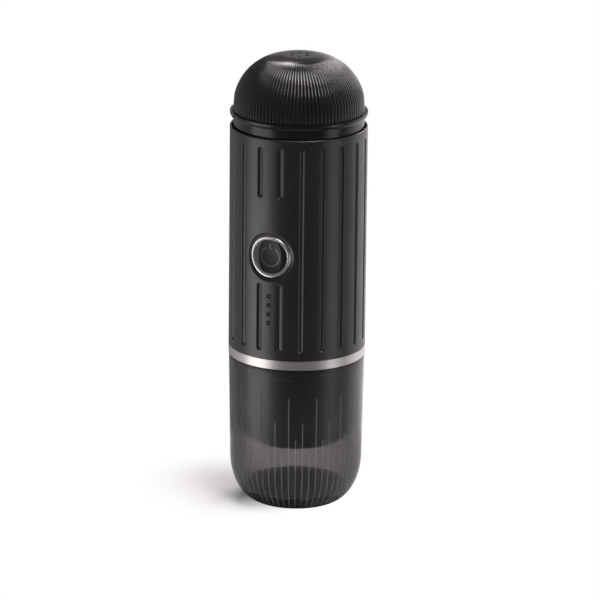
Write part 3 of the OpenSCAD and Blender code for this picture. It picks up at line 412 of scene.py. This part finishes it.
# Cuts for the flap, the socket, the ring and the lights
FLAP_GAP, FLAP_SWING_GAP, FLAP_STEPS = 0.3, 0.85, 16
SLOT_R, SLOT_X, SLOT_DEEP, CUT_PAST = 1.93, 2.84, 4, 2
HOLE_NEAR, HOLE_FAR, RING_GAP, LIGHT_GAP = 25, 45, 0.05, 0.1
RING_COLUMNS, LIGHT_COLUMNS = 128, 32


def flute_spans():
    """(angle, lowest, highest) of each flute on the body."""
    spans = []
    for i in range(FLUTE_COUNT):
        turn = 2 * math.pi * (i + 0.5) / FLUTE_COUNT
        angle = turn - math.pi / 2
        side = abs(math.sin(turn)) * BODY_R
        if math.cos(turn) > 0 and side < DISH_R + FLUTE_W / 2:
            spans.append((angle, FLUTE_LOW, FLUTE_LOW + FLUTE_LOWER_L))
            spans.append((angle, FLUTE_HIGH - FLUTE_UPPER_L, FLUTE_HIGH))
        elif math.cos(turn) < 0 and side < FLAP_W / 2 + FLUTE_W:
            spans.append((angle, FLUTE_OVER_PORT, FLUTE_HIGH))
        else:
            spans.append((angle, FLUTE_LOW, FLUTE_HIGH))
    return spans


FLUTES = flute_spans()


def flute_sink(angle, z):
    """Depth of the flutes at a point of the body, with softly rounded edges."""
    sink = 0.0
    for at, low, high in FLUTES:
        across = math.remainder(angle - at, 2 * math.pi) * BODY_R
        if abs(across) > FLUTE_REACH:
            continue
        along = max(low + FLUTE_W / 2 - z, z - high + FLUTE_W / 2, 0.0)
        away = math.hypot(across, along)
        if away > FLUTE_REACH:
            continue
        depth = math.sqrt(max(FLUTE_ROD_R ** 2 - away ** 2, 0)) - (FLUTE_ROD_R - FLUTE_DEPTH)
        soft = (depth + math.hypot(depth, FLUTE_EDGE)) / 2
        sink = max(sink, soft * smooth_step(FLUTE_REACH, FLUTE_ROD_R, away))
    return sink


def dish_sink(angle, z):
    """Depth of the shallow dish round the button."""
    if math.sin(angle) > 0:
        return 0.0
    away = math.hypot(BODY_R * math.cos(angle), z - BUTTON_Z)
    return DISH_DEPTH * smooth_step(DISH_R, RING_OUT_R + DISH_FLAT, away)


def body_angles():
    """Columns round the body: close together in the flutes and across the front dish."""
    marks = []
    pitch = 2 * math.pi / FLUTE_COUNT
    reach = FLUTE_REACH / BODY_R
    for i in range(FLUTE_COUNT):
        start = -math.pi / 2 + i * pitch
        middle = start + pitch / 2
        marks += spread([
            start,
            (middle - reach, WALL_TURN),
            (middle + reach, FLUTE_TURN),
            (start + pitch, WALL_TURN),
        ])[:-1]
    turn = -math.pi / 2
    dish_turn = math.asin(DISH_R / BODY_R) + DISH_SPARE_TURN
    kept = [a for a in marks if abs(math.remainder(a - turn, 2 * math.pi)) > dish_turn]
    kept += spread([turn - dish_turn, (turn + dish_turn, DISH_TURN)])
    return sorted(math.remainder(a, 2 * math.pi) for a in kept)


def body_levels():
    """Rows up the outside of the body: close together where flutes end and across the dish."""
    upper_low = FLUTE_HIGH - FLUTE_UPPER_L
    return spread([
        SHELL_Z + FOOT_EDGE,
        (FLUTE_LOW - END_OUT, FOOT_STEP),
        (FLUTE_LOW + END_IN, END_STEP),
        (FLUTE_OVER_PORT - PORT_END_OUT, WALL_STEP),
        (FLUTE_OVER_PORT + PORT_END_IN, END_STEP),
        (FLUTE_LOW + FLUTE_LOWER_L - LOWER_END_IN, WALL_STEP),
        (BUTTON_Z - DISH_R - DISH_OUT, END_STEP),
        (BUTTON_Z + DISH_R + DISH_OUT, DISH_STEP),
        (upper_low - END_OUT, WALL_STEP),
        (upper_low + END_IN, END_STEP),
        (FLUTE_HIGH - END_IN, WALL_STEP),
        (FLUTE_HIGH + END_OUT, END_STEP),
        (RIM_Z - RIM_LAST_ROW, RIM_STEP),
    ])


def body_section():
    """Outline of the shell: rounded foot, outer wall, round rim, and down the stepped inside."""
    foot = arc((BODY_R - FOOT_EDGE, SHELL_Z + FOOT_EDGE), FOOT_EDGE, FOOT_EDGE, -90, 0, 4)[:-1]
    wall = [(BODY_R, z) for z in body_levels()]
    middle = (BODY_R + MOUTH_R) / 2
    rim = arc((middle, RIM_Z - RIM_ROUND), BODY_R - middle, RIM_ROUND, 0, 180, 12)
    tank_ring_z = RIM_Z - MOUTH_DEPTH
    inside = [(MOUTH_R, tank_ring_z), (SHELL_IN_R, tank_ring_z), (SHELL_IN_R, SHELL_Z)]
    return foot + wall + rim + inside


def body_shape(angle, r, z):
    """Draws the flutes and the dish into the outer wall."""
    if r < BODY_R:
        return r
    return r - max(flute_sink(angle, z), dish_sink(angle, z))


def port_cutter():
    """Recess of the charging flap, its floor round the body's axis."""
    half = FLAP_W / 2 + FLAP_GAP
    low, high = PORT_Z - FLAP_H / 2 - FLAP_SWING_GAP, PORT_Z + FLAP_H / 2 + FLAP_GAP
    xs = [half - 2 * half * i / FLAP_STEPS for i in range(FLAP_STEPS + 1)]
    loop = [(x, math.sqrt(FLAP_FLOOR_R ** 2 - x * x)) for x in xs]
    loop += [(-half, BODY_R + CUT_PAST), (half, BODY_R + CUT_PAST)]
    return prism([(x, y, low) for x, y in loop], [(x, y, high) for x, y in loop])


def slot_cutter():
    """Way through the wall to the charging socket, a slot with round ends."""
    end = arc((SLOT_X, 0), SLOT_R, SLOT_R, -90, 90, 12)
    loop = end + [(-x, -up) for x, up in end]
    near, far = SHELL_IN_R - SLOT_DEEP, BODY_R + CUT_PAST
    return prism([(x, near, PORT_Z + up) for x, up in loop], [(x, far, PORT_Z + up) for x, up in loop])


def make_body():
    obj = lathe("body_skin", body_section(), body_angles(), body_shape, "satin_black")
    holes = bmesh.new()
    add_rod(holes, RING_OUT_R + RING_GAP, HOLE_NEAR, HOLE_FAR, RING_COLUMNS, front(BUTTON_Z))
    for z in LIGHT_ZS:
        add_rod(holes, LIGHT_R + LIGHT_GAP, HOLE_NEAR, HOLE_FAR, LIGHT_COLUMNS, front(z))
    cut(obj, holes)
    cut(obj, port_cutter())
    cut(obj, slot_cutter())
    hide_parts("body_shell")
    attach(obj, "housing")


make_body()


# Button ring and indicator lights, turned about lines that point out of the body's front

RING_SLOPE_R, RING_EDGE_R, RING_FALL = 36.5, 36.9, 0.05
RING_CREST_IN, RING_CREST_OUT = 10.5, 11.2
LENS_R, LENS_TOP_R, LENS_BACK_R = 0.8, 37.25, 33.5
LENS_SEAT_R, LENS_RIM_R, LENS_GAP = 36.6, 36.7, 0.02
LENS_DROPS = [(0, 0), (0.4, 0.04), (0.65, 0.14), (LENS_R, 0.3)]


def front_rows(section, z, columns, follow_body=False):
    """Rows of points of a section turned about a line at the front, at height z.

    The section holds distances from that line and from the body's axis. Where it follows the body,
    the second one is a radius about the body's axis.
    """
    rows = []
    for rho, out in section:
        row = []
        for a in even_angles(columns) if rho else [0.0]:
            x, up = rho * math.cos(a), rho * math.sin(a)
            depth = math.sqrt(out * out - x * x) if follow_body else out
            row.append((x, -depth, z + up))
        rows.append(row)
    return rows


def make_ring():
    """A ring with upright sides, a sloped inner edge and a softly rounded crest."""
    section = rounded([
        (RING_IN_R, RING_BACK_R, 0), (RING_IN_R, RING_SLOPE_R, 0.2), (RING_CREST_IN, RING_TOP_R, 0.4),
        (RING_CREST_OUT, RING_TOP_R - RING_FALL, 0.3), (RING_OUT_R, RING_EDGE_R, 0.12),
        (RING_OUT_R, RING_BACK_R, 0),
    ], 5)
    bm = bmesh.new()
    add_grid(bm, front_rows(section, BUTTON_Z, RING_COLUMNS, follow_body=True))
    bmesh.ops.recalc_face_normals(bm, faces=bm.faces)
    obj = finish_mesh("button_ring_turned", bm, MATERIALS["bright_ring"])
    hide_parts("button_ring")
    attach(obj, "housing")


def make_lights():
    """Light pipes, each a low domed lens in a dark groove."""
    section = [(rho, LENS_TOP_R - drop) for rho, drop in LENS_DROPS]
    section += [(LENS_R + LENS_GAP, LENS_SEAT_R), (LIGHT_R - LENS_GAP, LENS_SEAT_R), (LIGHT_R, LENS_RIM_R),
                (LIGHT_R, LENS_BACK_R), (0, LENS_BACK_R)]
    bm = bmesh.new()
    for z in LIGHT_ZS:
        add_grid(bm, front_rows(section, z, LIGHT_COLUMNS), wrap_rows=False)
    bmesh.ops.recalc_face_normals(bm, faces=bm.faces)
    obj = finish_mesh("light_lenses", bm, MATERIALS["lens_grey"])
    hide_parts("light_pipes")
    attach(obj, "housing")


make_ring()
make_lights()


# Dome: fine round ribs that fade out below a smooth vented crown

# Ribs a little deeper, and vents a little wider, than in the part's source
RIB_TOP_R, RIB_FADE, RIB_DEEP, RIB_STEPS = 16.0, 3.0, 0.56, 12
VENT_R, VENT_BELOW, VENT_ABOVE, VENT_COLUMNS = 0.95, 6, 4, 32
DOME_EDGE, DOME_FOOT_ROW, DOME_ARC_FROM, DOME_SINK, DOME_SPARE = 0.25, 1.2, 12.0, 0.01, 0.5
CROWN_RS, UNDER_RS = (5.5, 3.5, 1.5, 0), (0, 2, 4)
SHOULDER_X = DOME_R - DOME_SHOULDER


def dome_section():
    """Outline of the dome: up the foot and the round shoulder, over the flat crown, and back inside."""
    inner = DOME_SHOULDER - DOME_WALL
    centre = (SHOULDER_X, DOME_FOOT_Z)
    outside = [(DOME_R - DOME_EDGE, DOME_Z), (DOME_R, DOME_Z + DOME_EDGE), (DOME_R, DOME_Z + DOME_FOOT_ROW)]
    outside += arc(centre, DOME_SHOULDER, DOME_SHOULDER - DOME_SINK, DOME_ARC_FROM, 90, 50)
    crown_z = DOME_FOOT_Z + DOME_SHOULDER - DOME_SINK
    crown = [(r, crown_z) for r in CROWN_RS]
    inside = [(r, crown_z - DOME_WALL) for r in UNDER_RS]
    inside += arc(centre, inner, inner, 90, 0, 20) + [(SHOULDER_X + inner, DOME_Z)]
    return outside + crown + inside


def dome_shape(angle, r, z):
    """Draws the grooves between the ribs in, along the dome's face."""
    face_r = math.hypot(max(r - SHOULDER_X, 0), max(z - DOME_FOOT_Z, 0))
    outer = r > DOME_R - DOME_SPARE if z <= DOME_FOOT_Z else face_r > DOME_SHOULDER - DOME_SPARE
    if not outer:
        return r
    fade = smooth_step(RIB_TOP_R, RIB_TOP_R + RIB_FADE, r)
    phase = abs(math.remainder(angle * RIB_COUNT / (2 * math.pi), 1.0)) * 2
    groove = 1 - math.sqrt(1 - phase * phase)
    return r - RIB_DEEP * fade * groove


def make_dome():
    obj = lathe("dome_skin", dome_section(), even_angles(RIB_COUNT * RIB_STEPS), dome_shape, "dome_black")
    vents = bmesh.new()
    top = DOME_FOOT_Z + DOME_SHOULDER
    for i in range(VENT_COUNT):
        a = math.radians(VENT_START + 360 * i / VENT_COUNT)
        spot = Matrix.Translation((VENT_CIRCLE_R * math.cos(a), VENT_CIRCLE_R * math.sin(a), 0))
        add_rod(vents, VENT_R, top - VENT_BELOW, top + VENT_ABOVE, VENT_COLUMNS, spot)
    cut(obj, vents)
    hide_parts("dome_cap")
    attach(obj, "lid")


make_dome()


# Smoked cup: fine upright lines with staggered tops

LINE_COUNT, LINE_W, LINE_DEPTH, LINE_END = 60, 0.7, 0.36, 2.5
LINE_TOPS = [CUP_H - drop for drop in (15.0, 39.0, 29.0, 49.0)]
LINE_FADE_LOW, LINE_FADE_HIGH = CUP_BASE_R + 1, CUP_BASE_R + 4
LINE_GAP_COLUMNS, CUP_SMOOTH_ANGLE = 6, 20
CUP_ROW_STEP, LINE_END_STEP, INSIDE_STEP = 3, 0.5, 8
CUP_RIM_ROUND, FLOOR_FILLET = 0.5, 1.5
# Radii of the rows on the flat base and on the floor
BASE_RS, FLOOR_OUT_R, FLOOR_IN_R = (0, 8, 14), 24, 10
# How far off a face a point still counts as on it, in millimetres or, at the foot's curve, as a share
FACE_SPARE, FLOOR_SPARE = 0.01, 0.1
FOOT_W = CUP_LOW_R - CUP_BASE_R


def cup_out_r(z):
    """Radius of the cup's straight outer wall at a height."""
    return CUP_RIM_R - (CUP_RIM_R - CUP_LOW_R) * (CUP_H - z) / (CUP_H - CUP_FOOT_Z)


def foot_curve(steps):
    """The cup's outer face from its standing ring up to the straight wall."""
    return arc((CUP_BASE_R, CUP_FOOT_Z), FOOT_W, CUP_FOOT_Z, -90, 0, steps)


def foot_inside():
    """An even wall inside the foot's curve, down to a flat floor with a small fillet."""
    wall = []
    for r, z in reversed(foot_curve(60)):
        slope = ((r - CUP_BASE_R) / FOOT_W ** 2, (z - CUP_FOOT_Z) / CUP_FOOT_Z ** 2)
        point = Vector((r, z)) - Vector(slope).normalized() * CUP_WALL
        if point.y <= CUP_FLOOR:
            break
        wall.append(tuple(point))
    corner_r = wall[-1][0]
    wall = [point for point in wall if point[1] > CUP_FLOOR + FLOOR_FILLET]
    fillet = rounded([(*wall[-1], 0), (corner_r, CUP_FLOOR, FLOOR_FILLET), (FLOOR_OUT_R, CUP_FLOOR, 0)], 6)
    return wall[:-1] + fillet + [(FLOOR_IN_R, CUP_FLOOR)]


def cup_section():
    """Outline of the cup: under its base, up the outside, over the rim, and down to the floor."""
    outside = [(r, 0) for r in BASE_RS] + foot_curve(40)
    marks = [CUP_FOOT_Z]
    for top in sorted(LINE_TOPS):
        marks += [(top - LINE_END, CUP_ROW_STEP), (top, LINE_END_STEP)]
    rim_start = CUP_RIM_Z - CUP_RIM_ROUND
    levels = spread(marks + [(rim_start, CUP_ROW_STEP)])
    outside += [(cup_out_r(z), z) for z in levels[1:]]
    rim_centre = (cup_out_r(CUP_RIM_Z) - CUP_WALL / 2, rim_start)
    rim = arc(rim_centre, CUP_WALL / 2, CUP_RIM_ROUND, 0, 180, 10)[1:-1]
    inside = [(cup_out_r(z) - CUP_WALL, z) for z in spread([rim_start, (CUP_FOOT_Z, INSIDE_STEP)])]
    return outside + rim + inside + foot_inside()[1:] + [(0, CUP_FLOOR)]


def cup_angles():
    """Columns round the cup: both edges and the middle of each line, and a few in between."""
    pitch = 2 * math.pi / LINE_COUNT
    half = LINE_W / 2 / CUP_LOW_R
    gap_step = pitch / LINE_GAP_COLUMNS
    angles = []
    for i in range(LINE_COUNT):
        line, next_line = i * pitch, (i + 1) * pitch
        angles += spread([line - half, (line + half, half), (next_line - half, gap_step)])[:-1]
    return angles


def is_outside(r, z):
    """Whether a point of the cup's section is on its outer face."""
    if z >= CUP_FOOT_Z:
        return r > cup_out_r(z) - FACE_SPARE
    if r <= CUP_BASE_R:
        return z < CUP_FLOOR / 2
    return math.hypot((r - CUP_BASE_R) / FOOT_W, (z - CUP_FOOT_Z) / CUP_FOOT_Z) > 1 - FACE_SPARE


def is_floor(r, z):
    """Whether a point of the cup's section is on its inner floor."""
    return z < CUP_FLOOR + FLOOR_SPARE and not is_outside(r, z)


def groove_share(angle, r, z):
    """Share of the full groove depth at a point, nought away from the outside of the cup."""
    if not is_outside(r, z):
        return 0.0
    step = angle * LINE_COUNT / (2 * math.pi)
    index = round(step)
    across = abs(step - index) * 2 * math.pi / LINE_COUNT * CUP_LOW_R
    top = LINE_TOPS[index % len(LINE_TOPS)]
    share = max(0.0, 1 - across / (LINE_W / 2))
    return share * smooth_step(top, top - LINE_END, z) * smooth_step(LINE_FADE_LOW, LINE_FADE_HIGH, r)


def cup_shape(angle, r, z):
    """Draws the lines into the outer face."""
    return r - LINE_DEPTH * groove_share(angle, r, z)


def make_cup():
    section, angles = cup_section(), cup_angles()
    obj = lathe("cup_skin", section, angles, cup_shape, "smoked_clear", CUP_SMOOTH_ANGLE)
    points = [(a, r, z) for r, z in section for a in (angles if r else angles[:1])]
    marks = {GROOVE_NAME: [groove_share(a, r, z) for a, r, z in points],
             OUTSIDE_NAME: [float(is_outside(r, z)) for a, r, z in points],
             FLOOR_NAME: [float(is_floor(r, z)) for a, r, z in points]}
    for name, values in marks.items():
        obj.data.attributes.new(name, "FLOAT", "POINT").data.foreach_set("value", values)
    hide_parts("cup")
    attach(obj, "cup")


make_cup()


# Camera: the photograph's angle, from the right of the button and a little above

CAMERA_AZIMUTH, CAMERA_ELEVATION = math.radians(24.2), math.radians(16.5)
CAMERA_ROLL = math.radians(0.58)
CAMERA_DISTANCE, CAMERA_LENS, CAMERA_SENSOR, CAMERA_CLIP = 2.56, 280.0, 36, 20
AIM = Vector((0, 0, 0.1135))
AIM_RIGHT_PX, PX_PER_MM = 2.85, 1.8267
AIM_RIGHT = AIM_RIGHT_PX / PX_PER_MM * MM


def make_camera():
    data = bpy.data.cameras.new("camera")
    data.sensor_width = CAMERA_SENSOR
    data.lens = CAMERA_LENS
    data.clip_end = CAMERA_CLIP
    camera = bpy.data.objects.new("camera", data)
    scene.collection.objects.link(camera)
    flat, up = math.cos(CAMERA_ELEVATION), math.sin(CAMERA_ELEVATION)
    cos, sin = math.cos(CAMERA_AZIMUTH), math.sin(CAMERA_AZIMUTH)
    back = Vector((sin * flat, -cos * flat, up))
    right = Vector((cos, sin, 0))
    turn = (-back).to_track_quat("-Z", "Y").to_matrix().to_4x4() @ Matrix.Rotation(CAMERA_ROLL, 4, "Z")
    camera.matrix_world = Matrix.Translation(AIM + back * CAMERA_DISTANCE + right * AIM_RIGHT) @ turn
    scene.camera = camera


make_camera()


# Studio in metres: white sweep, slightly warm softboxes left, right, overhead and behind

LAMP_TINT, WHITE = (1.0, 0.955, 0.945), (1, 1, 1)
DOME_AIM_Z = 0.24


def camera_side(azimuth, up=0.0):
    """Unit direction at an azimuth in degrees to the right of the camera."""
    turn = CAMERA_AZIMUTH - math.pi / 2 + math.radians(azimuth)
    return Vector((math.cos(turn), math.sin(turn), up)).normalized()


def softbox(name, azimuth, distance, height, size, radiance, aim_z):
    """Area light round the object; azimuth in degrees to the right of the camera."""
    data = bpy.data.lights.new(name, "AREA")
    data.shape = "RECTANGLE"
    data.size, data.size_y = size
    data.energy = radiance * math.pi * size[0] * size[1]
    data.color = LAMP_TINT
    lamp = bpy.data.objects.new(name, data)
    scene.collection.objects.link(lamp)
    spot = camera_side(azimuth) * distance + Vector((0, 0, height))
    lamp.location = spot
    lamp.rotation_mode = "QUATERNION"
    lamp.rotation_quaternion = (Vector((0, 0, aim_z)) - spot).to_track_quat("-Z", "Y")
    return lamp


def keep_lamps_off(lamps, names):
    """Links lamps away from the named objects, which lowers the noise on them."""
    spared = bpy.data.collections.new("kept_from_dome_lamps")
    for name in names:
        spared.objects.link(bpy.data.objects[name])
    for item in spared.collection_objects:
        item.light_linking.link_state = "EXCLUDE"
    for lamp in lamps:
        lamp.light_linking.receiver_collection = spared


def make_lamps():
    softbox("left_softbox", azimuth=-68, distance=1.2, height=-0.40,
            size=(0.9, 0.68), radiance=2.9, aim_z=-0.1)
    softbox("right_softbox", azimuth=62, distance=1.3, height=-0.32,
            size=(0.5, 0.8), radiance=1.5, aim_z=0.0)
    softbox("top_softbox", azimuth=45, distance=0.20, height=1.35,
            size=(0.50, 0.80), radiance=11.0, aim_z=0.13)
    softbox("front_top_softbox", azimuth=26, distance=0.85, height=1.15,
            size=(0.50, 0.40), radiance=6.0, aim_z=DOME_AIM_Z)
    left = softbox("back_left_lamp", azimuth=-164, distance=0.70, height=1.13,
                   size=(0.22, 0.24), radiance=20.0, aim_z=DOME_AIM_Z)
    right = softbox("back_right_lamp", azimuth=152, distance=0.92, height=0.78,
                    size=(0.32, 0.30), radiance=9.0, aim_z=DOME_AIM_Z)
    keep_lamps_off((left, right), ("cup_skin", "brew_head"))
    softbox("back_right_softbox", azimuth=138, distance=1.10, height=0.58,
            size=(0.40, 0.45), radiance=3.0, aim_z=DOME_AIM_Z)


make_lamps()


def rise(tree, operation, vector, other, start, end, low, high):
    """Goes smoothly from low to high while a vector operation's result goes from start to end."""
    compare = add_node(tree, "ShaderNodeVectorMath", operation=operation)
    compare.inputs[1].default_value = other
    grow = add_node(tree, "ShaderNodeMapRange", interpolation_type="SMOOTHSTEP")
    grow.inputs["From Min"].default_value = start
    grow.inputs["From Max"].default_value = end
    grow.inputs["To Min"].default_value = low
    grow.inputs["To Max"].default_value = high
    tree.links.new(vector, compare.inputs[0])
    tree.links.new(compare.outputs["Value"], grow.inputs["Value"])
    return grow.outputs["Result"]


def mix_shaders(tree, share, first, second):
    """The first shader where the share is nought, the second where it is one."""
    mix = add_node(tree, "ShaderNodeMixShader")
    for socket, value in enumerate((share, first, second)):
        tree.links.new(value, mix.inputs[socket])
    return mix.outputs["Shader"]


# Floor greys seen straight and seen in reflections; the darker grey in reflections is painted shade
GROUND_R_MM, GROUND_PALE, GROUND_DIMMED_IN_REFLECTIONS = 125, 0.85, 0.6
SHADOW_AZIMUTH, SHADOW_AWAY = -117, 0.040


def make_floor():
    """A pale floor that keeps the object's shadow at the left and fades to white further out. Seen in
    reflections it is a darker grey than seen straight: painted shade in the reflections of the cup and the
    metal.
    """
    mat = bpy.data.materials.new("studio_floor")
    mat.use_nodes = True
    tree = mat.node_tree
    tree.nodes.clear()
    links = tree.links
    coords = add_node(tree, "ShaderNodeTexCoord").outputs["Object"]
    rays = add_node(tree, "ShaderNodeLightPath").outputs

    def white_share(ray, centre, start, end, low):
        """Share of plain white for one kind of ray, growing with the distance from a point."""
        share = add_node(tree, "ShaderNodeMath", operation="MULTIPLY")
        links.new(rise(tree, "DISTANCE", coords, centre, start, end, low, 1.0), share.inputs[0])
        links.new(rays[ray], share.inputs[1])
        return share.outputs["Value"]

    def diffuse(level):
        node = add_node(tree, "ShaderNodeBsdfDiffuse")
        node.inputs["Color"].default_value = (level, level, level, 1)
        return node.outputs["BSDF"]

    shadow = camera_side(SHADOW_AZIMUTH) * SHADOW_AWAY
    straight = white_share("Is Camera Ray", shadow, start=0.012, end=0.060, low=0.05)
    through = white_share("Is Transmission Ray", (0, 0, 0), start=0.030, end=0.060, low=0.02)
    seen = add_node(tree, "ShaderNodeMath", operation="MAXIMUM")
    links.new(straight, seen.inputs[0])
    links.new(through, seen.inputs[1])
    # Painted shade: the floor is a darker grey where it is seen in reflections than where it is seen
    # straight, which darkens its reflection in the cup and the metal
    ground = mix_shaders(tree, rays["Is Glossy Ray"], diffuse(GROUND_PALE), diffuse(GROUND_DIMMED_IN_REFLECTIONS))
    white = add_node(tree, "ShaderNodeEmission").outputs["Emission"]
    out = add_node(tree, "ShaderNodeOutputMaterial")
    links.new(mix_shaders(tree, seen.outputs["Value"], ground, white), out.inputs["Surface"])
    bm = bmesh.new()
    bmesh.ops.create_circle(bm, cap_ends=True, segments=96, radius=GROUND_R_MM)
    finish_mesh("studio_floor", bm, mat)


make_floor()


def make_world():
    """White to the camera; bright lobes behind on both sides in reflections; bright behind the cup."""
    world = bpy.data.worlds.new("studio")
    scene.world = world
    world.use_nodes = True
    tree = world.node_tree
    tree.nodes.clear()
    links = tree.links
    coords = add_node(tree, "ShaderNodeTexCoord").outputs["Generated"]
    rays = add_node(tree, "ShaderNodeLightPath").outputs

    def background(color):
        sky = add_node(tree, "ShaderNodeBackground")
        sky.inputs["Color"].default_value = (*color, 1)
        return sky

    def lobe(direction, color, start, end, low, high):
        """A background that grows from low to high towards a direction."""
        sky = background(color)
        strength = rise(tree, "DOT_PRODUCT", coords, direction, start, end, low, high)
        links.new(strength, sky.inputs["Strength"])
        return sky.outputs["Background"]

    right = lobe(camera_side(140, -0.2), LAMP_TINT, start=0.55, end=0.98, low=0.14, high=1.25)
    left = lobe(camera_side(-115, -0.3), LAMP_TINT, start=0.60, end=0.97, low=0.0, high=0.30)
    room = add_node(tree, "ShaderNodeAddShader")
    links.new(right, room.inputs[0])
    links.new(left, room.inputs[1])
    through = lobe(camera_side(180), WHITE, start=-0.4, end=0.5, low=0.3, high=1.0)
    plain = background(WHITE).outputs["Background"]
    shader = mix_shaders(tree, rays["Is Transmission Ray"], room.outputs["Shader"], through)
    shader = mix_shaders(tree, rays["Is Camera Ray"], shader, plain)
    out = add_node(tree, "ShaderNodeOutputWorld")
    links.new(shader, out.inputs["Surface"])


make_world()
